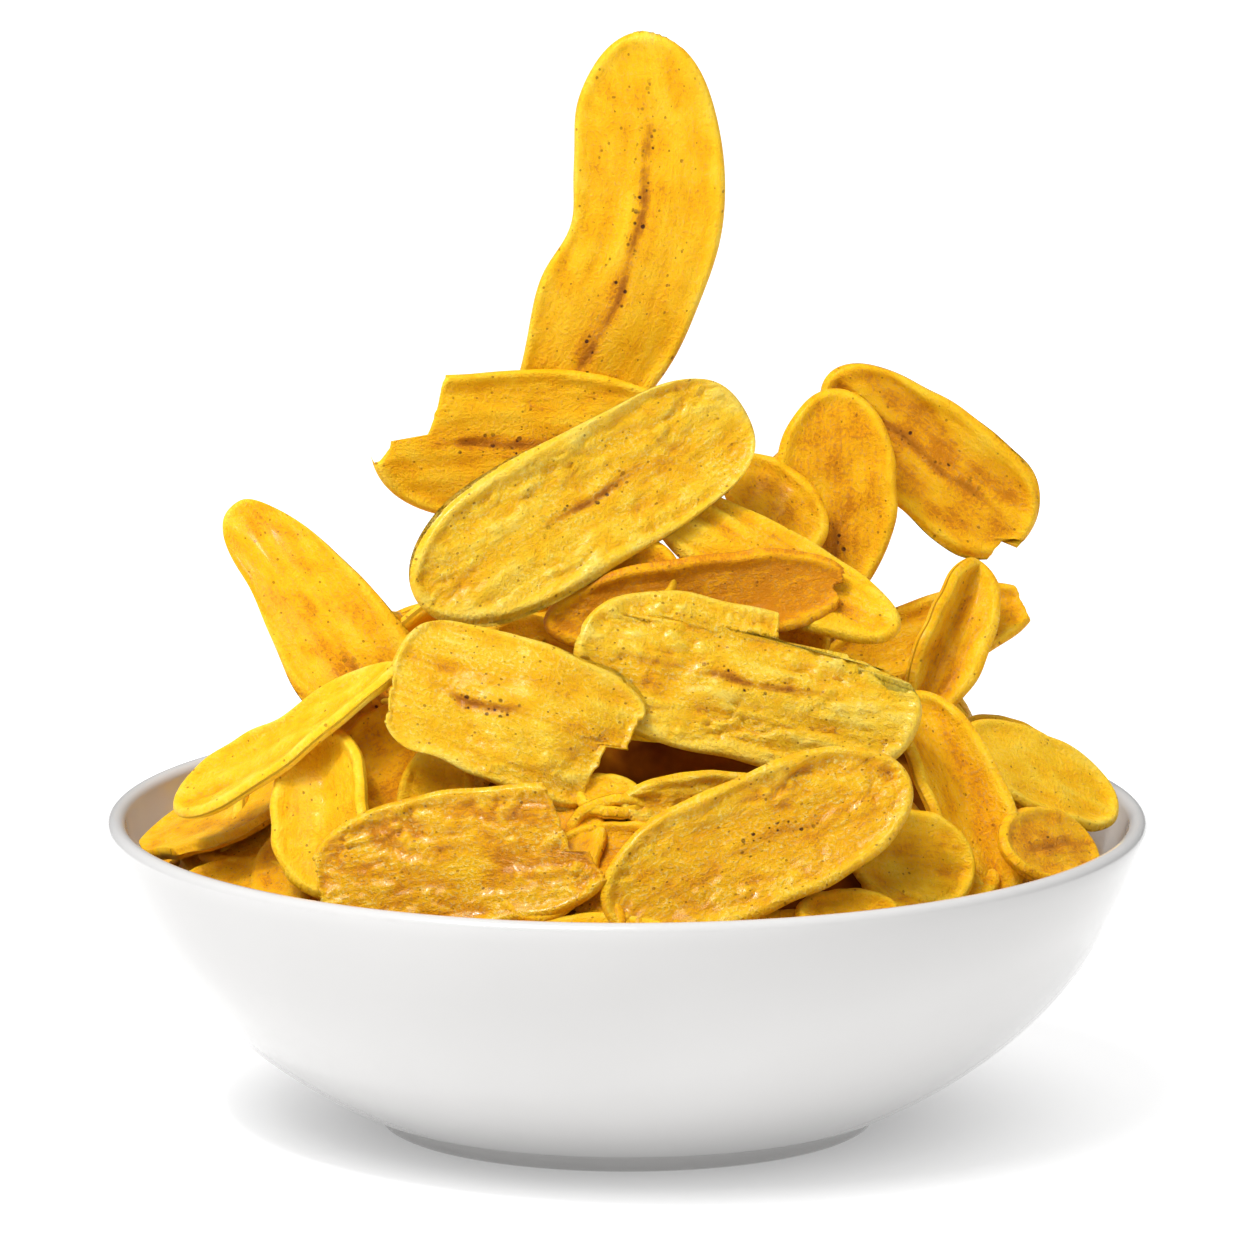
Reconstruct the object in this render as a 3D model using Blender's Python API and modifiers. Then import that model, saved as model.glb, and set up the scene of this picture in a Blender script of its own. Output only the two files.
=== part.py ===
# A bowl of crisps: long slices of fried plantain, heaped in a turned porcelain bowl.
# Lengths are in millimetres, and MM turns them to metres. The origin is the middle of the foot,
# +Z is up, and -Y is the front.

import math

import bmesh
import bpy
import numpy as np

MM = 0.001

# The bowl: both faces of its wall are parts of ellipses round one level above the rim
RIM_RADIUS = 120.0
BOWL_HEIGHT = 71.5
RIM_THICKNESS = 4.4
ELLIPSE_LEVEL = 84.0
OUTER_SEMI_WIDTH = 121.4
OUTER_SEMI_HEIGHT = 92.5
INNER_SEMI_WIDTH = 117.2
INNER_SEMI_HEIGHT = 86.5
FLOOR_LEVEL = 8.0
FOOT_RADIUS = 57.0
FOOT_HEIGHT = 4.6
FOOT_WIDTH = 5.5
FOOT_FLARE = 1.2
FOOT_ROUNDING = 0.8
RECESS_DEPTH = 2.8
FLOOR_RISE = 0.6
BOWL_STEPS = 48
WALL_POINTS = 8
WALL_CROWDING = 1.5
RIM_CELLS = 6

# The heap: a core that fills the bowl, with the crisps that show fused to it
HEAP_GAP = 0.45
CORE_RIM_LEVEL = 55.0
CORE_TOP_LEVEL = 116.0
CORE_FULLNESS = 2.3
CORE_RADIUS = 109.0
CORE_FLOOR_GAP = 2.5
CORE_WALL_GAP = 0.75
CORE_WALL_TOP = 52.0
CORE_WALL_POINTS = 5
DOME_CELLS = 6
CORE_STEPS = 30

# Every crisp: how it is cut, how unevenly it fried, and how far it stays from the bowl
CRISP_THICKNESS = 2.0
TIP_SHARE = 0.03
SPLIT_GAP = 0.04
EDGE_WAVER = 0.045
DENT_REACH = 0.3
FACE_WAVER = 0.4
FOLD_ROUNDING = 0.02
BEND_PLACE = 0.2
BEND_SHARPNESS = 14.0
WALL_CLEARANCE = 0.5

# Grids of a crisp: cells along it, and rows across it on each side of the split
FINE_GRID = (6, 2)
PLAIN_GRID = (6, 1)

# The crisps that show, each from one end to the other in millimetres.
# width: across the slice; face: the way its broad side looks; sag: how far the slice bends in its
# own plane; bow and cup: how far its ends and its edges lift towards the face; fold: degrees that
# each half is turned up about the vein; twist: degrees from end to end; head and tail: where the
# half below and the half above the split break off, from -1 to 1; skew: how far those breaks slant;
# blunt: how full the ends are; flare: how much wider one end is; dents: (place, side, mm) where an
# edge swells or draws in.
CRISPS = {
    "upright": dict(start=(1, 17, 251), end=(-24, 13, 158), width=37, face=(0, -1, 0.1), sag=-13,
                    bow=-2, cup=-1.5, blunt=(3.2, 3), dents=((-0.1, -1, -3), (0.8, -1, -3))),
    "upper_left": dict(start=(-59, 2, 158), end=(17, 9, 156), width=34, face=(0, -1, 0.15),
                       split=0.1, head=(-1, -0.6), bow=2, cup=-1, blunt=(4, 2.4)),
    "upper_front": dict(start=(-48, -50, 132), end=(27, -14, 169), width=33, face=(0.1, -1, 0.3),
                        bow=-2, cup=2, flare=-0.12, blunt=(3, 6)),
    "left_broken": dict(start=(-90, -15, 147), end=(-44, -53, 94), width=28, face=(-0.1, -1, 0.2),
                        tail=(0.8, 0.7), flare=0.3, blunt=(3.2, 2.4), bow=-3,
                        dents=((-0.45, -1, -3),)),
    "right_leaning": dict(start=(46, 12, 172), end=(92, 17, 133), width=27, face=(0.1, -1, 0.25),
                          split=-0.4, tail=(0.86, 1), cup=2, flare=0.1, blunt=(2.4, 4)),
    "front_bent": dict(start=(-54, -67, 119), end=(4, -69, 99), width=34, face=(0.05, -1, 0.45),
                       head=(-0.97, -0.97), tail=(0.7, 0.86), cup=-2, flare=0.12, blunt=(10, 5),
                       bend=-16, skew=(-0.06, 0.06)),
    "small_upper": dict(start=(24, 1, 154), end=(44, -11, 136), width=18, face=(0.2, -1, 0.5),
                        cup=2, grid=PLAIN_GRID),
    "creased": dict(start=(5, -24, 151), end=(62, -38, 122), width=22, face=(0.2, -1, 0.9), cup=-3),
    "dark_middle": dict(start=(-19, -44, 125), end=(51, -34, 133), width=21, face=(0, -1, 0.35),
                        tail=(0.9, 0.96), cup=3, blunt=(2.4, 3)),
    "leaf": dict(start=(48, 7, 170), end=(48, -5, 122), width=28, face=(0.1, -1, 0.1), cup=2,
                 blunt=(2.4, 1.6)),
    "far_right": dict(start=(44, -8, 106), end=(94, 15, 119), width=18, face=(0, -1, 0.5),
                      tail=(0.88, 0.88)),
    "long_left": dict(start=(-103, -42, 83), end=(-51, -57, 118), width=26, face=(-0.25, -0.35, 1),
                      sag=5, fold=8, twist=-20, dents=((0, 1, -4),)),
    "folded_upper": dict(start=(81, 6, 130), end=(65, -14, 96), width=21, face=(0.5, -1, 0.2),
                         fold=35),
    "folded_lower": dict(start=(64, -38, 108), end=(86, -54, 61), width=24, face=(0.5, -1, 0.4),
                         fold=30),
    "middle_torn": dict(start=(-12, -59, 123), end=(67, -55, 106), width=36, face=(0, -1, 0.45),
                        split=0.6, head=(-1, -0.98), tail=(1, 0.12), cup=-2, blunt=(4, 4.5)),
    "front_oval": dict(start=(-5, -97, 69), end=(64, -73, 96), width=32, face=(0.1, -1, 0.45),
                       cup=3, blunt=(2.8, 2.6)),
    "front_notched": dict(start=(-72, -83, 74), end=(-2, -92, 85), width=32,
                          face=(-0.05, -1, 0.35), split=-0.1, head=(-0.95, -0.95),
                          tail=(0.8, 0.68), skew=(0, -0.1), blunt=(2.6, 4)),
    "left_crescent": dict(start=(-68, -58, 103), end=(-67, -80, 69), width=27, face=(-0.6, -1, 0.4),
                          fold=22),
    "left_wavy": dict(start=(-110, -2, 67), end=(-78, -39, 82), width=30, face=(-0.2, -0.5, 1),
                      flare=0.3, grid=PLAIN_GRID),
    "left_low": dict(start=(-101, -36, 64), end=(-74, -76, 66), width=22, face=(-0.1, -0.8, 1),
                     grid=PLAIN_GRID),
    "right_back": dict(start=(74, -8, 90), end=(101, -2, 82), width=24, face=(0.3, -0.6, 1),
                       grid=PLAIN_GRID),
    "right_long": dict(start=(76, -23, 93), end=(113, -5, 74), width=25, face=(0.3, -0.8, 1)),
    "right_round": dict(start=(86, -60, 75), end=(106, -32, 72), width=21, face=(0.3, -1, 0.8),
                        grid=PLAIN_GRID),
    "right_low": dict(start=(50, -74, 79), end=(79, -61, 71), width=25, face=(0.2, -1, 0.6),
                      grid=PLAIN_GRID),
    "rim_sliver": dict(start=(38, -90, 67), end=(62, -82, 66), width=13, face=(0.1, -1, 1),
                       grid=PLAIN_GRID),
    "curl_left": dict(start=(-10, -74, 94), end=(4, -74, 93), width=12, face=(0, -0.05, 1),
                      grid=PLAIN_GRID),
    "curl_right": dict(start=(-3, -77, 94), end=(38, -66, 89), width=18, face=(0.2, -1, 0.5),
                       fold=12, blunt=(1.8, 2.4), grid=PLAIN_GRID),
    "curl_low": dict(start=(-14, -77, 78), end=(7, -74, 87), width=20, face=(0.2, -1, 0.3),
                     fold=25, grid=PLAIN_GRID),
    "gap_edge": dict(start=(-6, -60, 102), end=(22, -58, 99), width=14, face=(0.05, -0.05, 1),
                     grid=PLAIN_GRID),
    "left_inner": dict(start=(-63, -64, 89), end=(-40, -56, 103), width=28, face=(-0.2, -1, 0.4),
                       grid=PLAIN_GRID),
    "left_under": dict(start=(-52, -65, 91), end=(-35, -71, 89), width=24, face=(-0.2, -1, 0.4),
                       grid=PLAIN_GRID),
    "left_edge": dict(start=(-64, -53, 93), end=(-52, -47, 108), width=16, face=(-0.9, -0.8, 0.3),
                      grid=PLAIN_GRID),
    "middle_left": dict(start=(-34, -32, 116), end=(-6, -32, 113), width=22, face=(0, -1, 1),
                        grid=PLAIN_GRID),
    "middle_upper": dict(start=(-15, -38, 130), end=(12, -36, 137), width=20, face=(0, -1, 0.6),
                         grid=PLAIN_GRID),
    "prop_left": dict(start=(-36, 40, 92), end=(-10, 14, 160), width=32, face=(0, 1, 0.4),
                      bow=3, blunt=(3, 3)),
    "prop_middle": dict(start=(2, 8, 98), end=(-14, -16, 146), width=30, face=(-0.2, 1, 0.5),
                        bow=-3, grid=PLAIN_GRID),
    "prop_right": dict(start=(28, 34, 94), end=(47, 6, 160), width=28, face=(0.2, 1, 0.4),
                       cup=2, blunt=(3, 2.4)),
    "prop_low": dict(start=(24, -8, 100), end=(40, -34, 130), width=26, face=(0.3, 1, 0.6),
                     grid=PLAIN_GRID),
}

# Rings of crisps over the back and the flanks, which repeat by a rule: middle radius, how many,
# the arc that they cover in degrees from +X round the back, and the most that each leans inwards
BACK_RINGS = (
    dict(radius=90, count=9, first=-6, last=190, lean=20),
    dict(radius=68, count=8, first=14, last=206, lean=22),
    dict(radius=44, count=5, first=34, last=206, lean=20),
    dict(radius=20, count=2, first=10, last=220, lean=16),
)
RING_LIFT = (0.5, 4.5)
RING_YAW = 1.2
BACK_LENGTHS = (52, 74)
BACK_WIDTHS = (27, 35)
BACK_SEED = 11

CRISP_COLOUR = (0.72, 0.42, 0.035, 1)
CRISP_ROUGHNESS = 0.55
PORCELAIN_COLOUR = (0.86, 0.86, 0.85, 1)
PORCELAIN_ROUGHNESS = 0.15


def clear_scene():
    for obj in list(bpy.data.objects):
        bpy.data.objects.remove(obj, do_unlink=True)


def new_material(name, colour, roughness):
    material = bpy.data.materials.new(name)
    material.use_nodes = True
    shader = material.node_tree.nodes["Principled BSDF"]
    shader.inputs["Base Color"].default_value = colour
    shader.inputs["Roughness"].default_value = roughness
    shader.inputs["Metallic"].default_value = 0
    return material


def new_object(name, mesh, collection):
    obj = bpy.data.objects.new(name, mesh)
    collection.objects.link(obj)
    return obj


def ellipse_radius(level, semi_width, semi_height):
    drop = (ELLIPSE_LEVEL - level) / semi_height
    return semi_width * math.sqrt(max(0.0, 1 - drop * drop))


def outer_radius(level):
    return ellipse_radius(level, OUTER_SEMI_WIDTH, OUTER_SEMI_HEIGHT)


def inner_radius(level):
    return ellipse_radius(level, INNER_SEMI_WIDTH, INNER_SEMI_HEIGHT)


def wall_points(radius_at, low, high, count):
    """Points up one face of the wall, closer together where it curves most, near the floor."""
    shares = [(i / (count - 1)) ** WALL_CROWDING for i in range(count)]
    levels = [low + (high - low) * share for share in shares]
    return [(radius_at(level), level) for level in levels]


def turned(name, profile, steps, collection):
    """A profile of (radius, level) turned about Z. On its outer side it runs downwards."""
    mesh = bpy.data.meshes.new(name)
    points = [(radius * MM, 0, level * MM) for radius, level in profile]
    mesh.from_pydata(points, [(i, i + 1) for i in range(len(points) - 1)], [])
    obj = new_object(name, mesh, collection)
    screw = obj.modifiers.new("Turn", "SCREW")
    screw.axis = "Z"
    screw.steps = steps
    screw.render_steps = steps
    screw.use_merge_vertices = True
    screw.merge_threshold = 0.0001
    return obj


def bowl_profile():
    rim_middle = BOWL_HEIGHT - RIM_THICKNESS / 2
    inner = wall_points(inner_radius, FLOOR_LEVEL + FLOOR_RISE, rim_middle, WALL_POINTS)
    outer = wall_points(outer_radius, FOOT_HEIGHT, rim_middle, WALL_POINTS)
    rim_centre = (inner[-1][0] + outer[-1][0]) / 2
    rim_half = (outer[-1][0] - inner[-1][0]) / 2
    rim = []
    for i in range(1, RIM_CELLS):
        angle = math.pi * (1 - i / RIM_CELLS)
        rim.append((rim_centre + rim_half * math.cos(angle),
                    rim_middle + RIM_THICKNESS / 2 * math.sin(angle)))
    foot_inner = FOOT_RADIUS - FOOT_WIDTH
    foot = [(FOOT_RADIUS + FOOT_FLARE, FOOT_HEIGHT - FOOT_FLARE),
            (FOOT_RADIUS, FOOT_ROUNDING),
            (FOOT_RADIUS - FOOT_ROUNDING, 0),
            (foot_inner + FOOT_ROUNDING, 0),
            (foot_inner - FOOT_ROUNDING, RECESS_DEPTH),
            (0, RECESS_DEPTH)]
    return [(0, FLOOR_LEVEL)] + inner + rim + outer[::-1] + foot


def dome_level(radius):
    share = min(1, radius / CORE_RADIUS)
    return CORE_RIM_LEVEL + (CORE_TOP_LEVEL - CORE_RIM_LEVEL) * (1 - share ** CORE_FULLNESS)


def dome_slope(radius):
    return (dome_level(radius - 1) - dome_level(radius + 1)) / 2


def core_profile():
    """The space inside the bowl and the dome above it, from the top of the dome down."""
    radii = [CORE_RADIUS * i / DOME_CELLS for i in range(DOME_CELLS + 1)]
    dome = [(radius, dome_level(radius)) for radius in radii]
    floor = FLOOR_LEVEL + CORE_FLOOR_GAP
    wall = wall_points(inner_radius, floor, CORE_WALL_TOP, CORE_WALL_POINTS)
    inside = [(radius - CORE_WALL_GAP, level) for radius, level in reversed(wall)]
    return dome + inside + [(0, floor)]


def smooth_wave(seed, terms=4):
    """A smooth function of one number, about -1 to 1, that the seed picks."""
    draw = np.random.RandomState(seed)
    heights = draw.uniform(-1, 1, terms) / np.sqrt(np.arange(1, terms + 1))
    phases = draw.uniform(0, 2 * math.pi, terms)

    def wave(at):
        return sum(heights[k] * np.sin(3.8 * (k + 1) * at + phases[k]) for k in range(terms)) / 1.6

    return wave


def unit(vector):
    return np.asarray(vector, float) / np.linalg.norm(vector)


def arc_line(end_angle, at, bend=0.0):
    """Places and directions along a line of length 2 that turns steadily, for at from -1 to 1."""
    fine = np.linspace(-1, 1, 161)
    angle = end_angle * fine
    angle = angle + math.radians(bend) / (1 + np.exp(-(fine - BEND_PLACE) * BEND_SHARPNESS))
    step = fine[1] - fine[0]
    forward = np.concatenate([[0], np.cumsum(np.cos((angle[1:] + angle[:-1]) / 2) * step)])
    aside = np.concatenate([[0], np.cumsum(np.sin((angle[1:] + angle[:-1]) / 2) * step)])
    chord = math.hypot(forward[-1], aside[-1])
    turn = math.atan2(aside[-1], forward[-1])
    x = np.interp(at, fine, forward)
    y = np.interp(at, fine, aside)
    along = (x * math.cos(turn) + y * math.sin(turn)) * 2 / chord - 1
    off = (y * math.cos(turn) - x * math.sin(turn)) * 2 / chord
    return along, off, np.interp(at, fine, angle) - turn


def crisp_points(along, across, start, end, width, face, seed, sag=0, bow=0, cup=1, fold=0,
                 twist=0, bend=0, flare=0, split=0, head=(-1, -1), tail=(1, 1), skew=(0, 0),
                 blunt=(2.4, 2.4), dents=()):
    """The middle surface of one crisp in millimetres, at each place along and across it."""
    length = np.linalg.norm(np.subtract(end, start))
    low_half = across < split
    first = np.maximum(np.where(low_half, head[0], head[1]) + skew[0] * across, -1)
    last = np.minimum(np.where(low_half, tail[0], tail[1]) + skew[1] * across, 1)
    place = first + (last - first) * (along + 1) / 2

    # Outline: blunt ends, and edges that waver a little
    power = np.where(place < 0, blunt[0], blunt[1])
    half_width = np.sqrt(np.maximum(0, 1 - np.abs(place) ** power))
    half_width = np.maximum(half_width, TIP_SHARE) * (1 + flare * place)
    low_edge, high_edge = smooth_wave(seed), smooth_wave(seed + 50)
    waver = 1 + EDGE_WAVER * np.where(across < 0, low_edge(place), high_edge(place))
    y = across * half_width * waver * width / 2
    for dent_at, side, depth in dents:
        near = np.exp(-((place - dent_at) / DENT_REACH) ** 2)
        y = y + side * depth * near * np.maximum(0, side * across)

    # The bend in the plane of the slice
    middle, off, direction = arc_line(4 * sag / length, place)
    x = middle * length / 2 - np.sin(direction) * y
    y = off * length / 2 + np.cos(direction) * y

    # The section: edges lifted, or both halves folded up about the vein
    share = across * half_width
    angle = math.radians(fold)
    lift = np.sqrt(share ** 2 + FOLD_ROUNDING) - math.sqrt(FOLD_ROUNDING)
    z = cup * share ** 2 + lift * width / 2 * math.sin(angle)
    z = z + FACE_WAVER * smooth_wave(seed + 7)(0.9 * place + 0.3 * share)
    y = y - share * width / 2 * (1 - math.cos(angle))

    # Twist from end to end, then the bow of the whole length
    turn = math.radians(twist) * x / length
    y, z = y * np.cos(turn) - z * np.sin(turn), y * np.sin(turn) + z * np.cos(turn)
    middle, off, direction = arc_line(4 * bow / length, np.clip(2 * x / length, -1.2, 1.2), bend)
    x = middle * length / 2 - np.sin(direction) * z
    z = off * length / 2 + np.cos(direction) * z

    ahead = unit(np.subtract(end, start))
    outward = np.asarray(face, float)
    outward = unit(outward - ahead * (outward @ ahead))
    sideways = np.cross(outward, ahead)
    centre = np.add(start, end) / 2
    return centre + x[..., None] * ahead + y[..., None] * sideways + z[..., None] * outward


def kept_in_bowl(points):
    """Moves points that would cross the wall inwards, to leave half a crisp and a gap."""
    margin = CRISP_THICKNESS / 2 + HEAP_GAP + WALL_CLEARANCE
    for point in points.reshape(-1, 3):
        reach = math.hypot(point[0], point[1])
        most = RIM_RADIUS - RIM_THICKNESS / 2
        if point[2] < BOWL_HEIGHT + CRISP_THICKNESS:
            most = inner_radius(min(point[2], BOWL_HEIGHT) - CRISP_THICKNESS / 2) - margin
        if reach > most:
            point[:2] *= most / reach
    return points


def rows_across(rows, shape):
    """Places of the rows, with two close together where the halves break off apart."""
    head = shape.get("head", (-1, -1))
    tail = shape.get("tail", (1, 1))
    if head[0] == head[1] and tail[0] == tail[1]:
        return np.linspace(-1, 1, 2 * rows + 1)
    split = shape.get("split", 0)
    below = np.linspace(-1, split - SPLIT_GAP, rows + 1)
    above = np.linspace(split + SPLIT_GAP, 1, rows + 1)
    return np.concatenate([below, above])


def add_crisp(name, shape, collection):
    shape = dict(shape)
    cells, rows = shape.pop("grid", FINE_GRID)
    even = np.linspace(-1, 1, cells + 1)
    along = (even + np.sin(even * math.pi / 2)) / 2
    across = rows_across(rows, shape)

    grid = bmesh.new()
    bmesh.ops.create_grid(grid, x_segments=cells, y_segments=len(across) - 1, size=1)
    grid.verts.ensure_lookup_table()
    order = sorted(grid.verts, key=lambda v: (round(v.co.y, 4), round(v.co.x, 4)))
    points = crisp_points(*np.meshgrid(along, across), **shape)
    points = kept_in_bowl(points)
    for vertex, point in zip(order, points.reshape(-1, 3)):
        vertex.co = point * MM
    bmesh.ops.triangulate(grid, faces=grid.faces[:])
    mesh = bpy.data.meshes.new(name)
    grid.to_mesh(mesh)
    grid.free()

    obj = new_object(name, mesh, collection)
    shell = obj.modifiers.new("Thickness", "SOLIDIFY")
    shell.thickness = CRISP_THICKNESS * MM
    shell.offset = 0
    return obj


def ring_crisps():
    """The crisps of the back rings, leaning on the core at uneven angles."""
    draw = np.random.RandomState(BACK_SEED)
    found = {}
    for number, ring in enumerate(BACK_RINGS):
        for i in range(ring["count"]):
            share = (i + 0.5 + draw.uniform(-0.2, 0.2)) / ring["count"]
            angle = math.radians(ring["first"] + share * (ring["last"] - ring["first"]))
            out = np.array([math.cos(angle), math.sin(angle), 0])
            round_about = np.array([-math.sin(angle), math.cos(angle), 0])
            up = np.array([0, 0, 1.0])
            slope = math.atan(dome_slope(ring["radius"]))
            tilt = slope + math.radians(draw.uniform(0.1, 1) * ring["lean"])
            face = out * math.sin(tilt) + up * math.cos(tilt)
            downhill = out * math.cos(tilt) - up * math.sin(tilt)
            yaw = draw.uniform(-RING_YAW, RING_YAW)
            ahead = round_about * math.cos(yaw) + downhill * math.sin(yaw)
            half = draw.uniform(*BACK_LENGTHS) / 2
            level = dome_level(ring["radius"]) + draw.uniform(*RING_LIFT)
            middle = out * ring["radius"] + up * level
            found[f"back_{number}_{i}"] = dict(
                start=middle - ahead * half, end=middle + ahead * half,
                width=draw.uniform(*BACK_WIDTHS), face=face, bow=draw.uniform(-4, 5),
                cup=draw.uniform(-2, 3), sag=draw.uniform(-5, 5), grid=PLAIN_GRID)
    return found


def evaluated_copy(obj):
    graph = bpy.context.evaluated_depsgraph_get()
    return bpy.data.meshes.new_from_object(obj.evaluated_get(graph))


def connected_parts(mesh_edit):
    """The faces of each separate surface in the mesh."""
    waiting = set(mesh_edit.faces)
    parts = []
    while waiting:
        front = [waiting.pop()]
        part = list(front)
        while front:
            face = front.pop()
            for edge in face.edges:
                for other in edge.link_faces:
                    if other in waiting:
                        waiting.remove(other)
                        front.append(other)
                        part.append(other)
        parts.append(part)
    return parts


def keep_largest(mesh):
    """Drops loose scraps, and the walls of sealed hollows so that they are filled."""
    edit = bmesh.new()
    edit.from_mesh(mesh)
    parts = sorted(connected_parts(edit), key=lambda part: sum(f.calc_area() for f in part))
    for part in parts[:-1]:
        bmesh.ops.delete(edit, geom=part, context="FACES")
    print("heap: surfaces dropped", [len(part) for part in parts[:-1]])
    edit.to_mesh(mesh)
    edit.free()


def make_bowl(collection):
    bowl = turned("bowl", bowl_profile(), BOWL_STEPS, collection)
    bowl.data.materials.append(
        new_material("white porcelain", PORCELAIN_COLOUR, PORCELAIN_ROUGHNESS))
    return bowl


def make_heap(collection, pieces):
    core = turned("core", core_profile(), CORE_STEPS, collection)
    shapes = dict(CRISPS)
    shapes.update(ring_crisps())
    for number, (name, shape) in enumerate(shapes.items()):
        add_crisp(name, dict(shape, seed=number + 1), pieces)

    join = core.modifiers.new("Join", "BOOLEAN")
    join.operation = "UNION"
    join.operand_type = "COLLECTION"
    join.collection = pieces
    join.solver = "MANIFOLD"
    mesh = evaluated_copy(core)
    keep_largest(mesh)

    for obj in [core] + list(pieces.objects):
        bpy.data.objects.remove(obj, do_unlink=True)
    bpy.data.collections.remove(pieces)
    heap = new_object("crisps", mesh, collection)
    mesh.materials.clear()
    mesh.materials.append(new_material("fried plantain", CRISP_COLOUR, CRISP_ROUGHNESS))
    return heap


def main():
    clear_scene()
    bowl_of_crisps = bpy.data.collections.new("bowl_of_crisps")
    pieces = bpy.data.collections.new("crisp_pieces")
    bpy.context.scene.collection.children.link(bowl_of_crisps)
    bpy.context.scene.collection.children.link(pieces)
    bowl = make_bowl(bowl_of_crisps)
    make_heap(bowl_of_crisps, pieces)
    bowl.data.shade_smooth()


main()
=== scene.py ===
import math

import bpy
import numpy as np
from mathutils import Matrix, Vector


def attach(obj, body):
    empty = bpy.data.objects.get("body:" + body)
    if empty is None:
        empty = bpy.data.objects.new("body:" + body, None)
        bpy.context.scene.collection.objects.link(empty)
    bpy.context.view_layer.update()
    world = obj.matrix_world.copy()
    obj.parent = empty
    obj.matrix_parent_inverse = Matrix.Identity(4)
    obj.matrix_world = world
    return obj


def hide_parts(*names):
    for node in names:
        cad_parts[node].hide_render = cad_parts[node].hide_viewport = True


# Bowl of crisps: long slices of fried plantain heaped in a white porcelain bowl.
# Shapes are worked out in millimetres and written to the meshes in metres.

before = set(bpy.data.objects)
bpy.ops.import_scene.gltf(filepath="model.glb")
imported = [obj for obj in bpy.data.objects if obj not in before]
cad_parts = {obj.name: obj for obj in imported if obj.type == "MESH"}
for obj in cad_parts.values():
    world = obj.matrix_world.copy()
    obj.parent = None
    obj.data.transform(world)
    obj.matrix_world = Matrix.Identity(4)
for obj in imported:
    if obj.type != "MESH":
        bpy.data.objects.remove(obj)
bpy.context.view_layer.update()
mm = 0.001
bpy.context.scene.view_settings.view_transform = "Standard"


# small helpers for colours, nodes and meshes

def hexColour(code):
    code = code.lstrip("#")
    out = []
    for i in (0, 2, 4):
        c = int(code[i:i + 2], 16) / 255
        out.append(c / 12.92 if c <= 0.04045 else ((c + 0.055) / 1.055) ** 2.4)
    return (out[0], out[1], out[2], 1.0)


def addNode(tree, kind, settings=None, links=None):
    # settings: the node's own properties and input values; links: input -> socket, or a value
    node = tree.nodes.new(kind)
    for name, value in (settings or {}).items():
        if isinstance(name, int) or name in node.inputs.keys():
            node.inputs[name].default_value = value
        else:
            setattr(node, name, value)
    for name, source in (links or {}).items():
        if isinstance(source, bpy.types.NodeSocket):
            tree.links.new(source, node.inputs[name])
        else:
            node.inputs[name].default_value = source
    return node


def newMaterial(name, surface):
    # surface: values for the shader's own sockets
    material = bpy.data.materials.new(name)
    material.use_nodes = True
    tree = material.node_tree
    shader = tree.nodes["Principled BSDF"]
    for socket, value in surface.items():
        shader.inputs[socket].default_value = value
    return material, tree, shader


def setStops(ramp, stops):
    elements = ramp.color_ramp.elements
    while len(elements) > 1:
        elements.remove(elements[-1])
    for i, (at, code) in enumerate(stops):
        element = elements[0] if i == 0 else elements.new(at)
        element.position = at
        element.color = hexColour(code)


def placed(name, data):
    obj = bpy.data.objects.new(name, data)
    bpy.context.scene.collection.objects.link(obj)
    return obj


def meshFrom(name, points, faces, attributes=None):
    # points in mm, faces as one array of corner indices, attributes as one vector a point
    mesh = bpy.data.meshes.new(name)
    mesh.vertices.add(len(points))
    mesh.vertices.foreach_set("co", (np.asarray(points) * mm).astype(np.float32).ravel())
    faces = np.asarray(faces)
    count, corners = faces.shape
    mesh.loops.add(count * corners)
    mesh.loops.foreach_set("vertex_index", faces.ravel().astype(np.int32))
    mesh.polygons.add(count)
    mesh.polygons.foreach_set("loop_start", np.arange(0, count * corners, corners, dtype=np.int32))
    mesh.polygons.foreach_set("use_smooth", np.ones(count, dtype=bool))
    mesh.update(calc_edges=True)
    mesh.validate()
    for key, values in (attributes or {}).items():
        layer = mesh.attributes.new(key, "FLOAT_VECTOR", "POINT")
        layer.data.foreach_set("vector", np.asarray(values, np.float32).ravel())
    return placed(name, mesh)


def turned(name, profile, steps):
    # a profile of (radius, level) turned about Z, with single points where it meets the axis
    ringPoints, index = [], []
    angles = np.arange(steps) * 2 * math.pi / steps
    total = 0
    for radius, level in profile:
        if radius < 1e-6:
            ringPoints.append([[0, 0, level]])
            index.append(np.full(steps, total))
            total += 1
        else:
            ringPoints.append(np.stack([radius * np.cos(angles), radius * np.sin(angles),
                                        np.full(steps, level)], 1))
            index.append(total + np.arange(steps))
            total += steps
    points = np.concatenate([np.asarray(r, float) for r in ringPoints])
    faces = []
    for a, b in zip(index[:-1], index[1:]):
        for k in range(steps):
            n = (k + 1) % steps
            corners = [int(a[k]), int(b[k]), int(b[n]), int(a[n])]
            # two corners that meet on the axis count once
            faces.append([c for i, c in enumerate(corners) if c != corners[i - 1]])
    mesh = bpy.data.meshes.new(name)
    mesh.from_pydata([tuple(p * mm) for p in points], [], faces)
    mesh.update()
    mesh.shade_smooth()
    return placed(name, mesh)


# smooth chance: every draw comes from a seed, so each run is the same

chanceTables = {"terms": 4, "seedLimit": 100003, "noise": (61, 67), "blisters": (41, 43),
                "blisterSizes": (0.42, 0.85), "blisterHeights": (0.1, 1)}


def smoothWave(seed):
    terms = chanceTables["terms"]
    draw = np.random.RandomState(seed)
    heights = draw.uniform(-1, 1, terms) / np.sqrt(np.arange(1, terms + 1))
    phases = draw.uniform(0, 2 * math.pi, terms)
    return lambda at: sum(heights[k] * np.sin(3.8 * (k + 1) * at + phases[k])
                          for k in range(terms)) / 1.6


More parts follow.
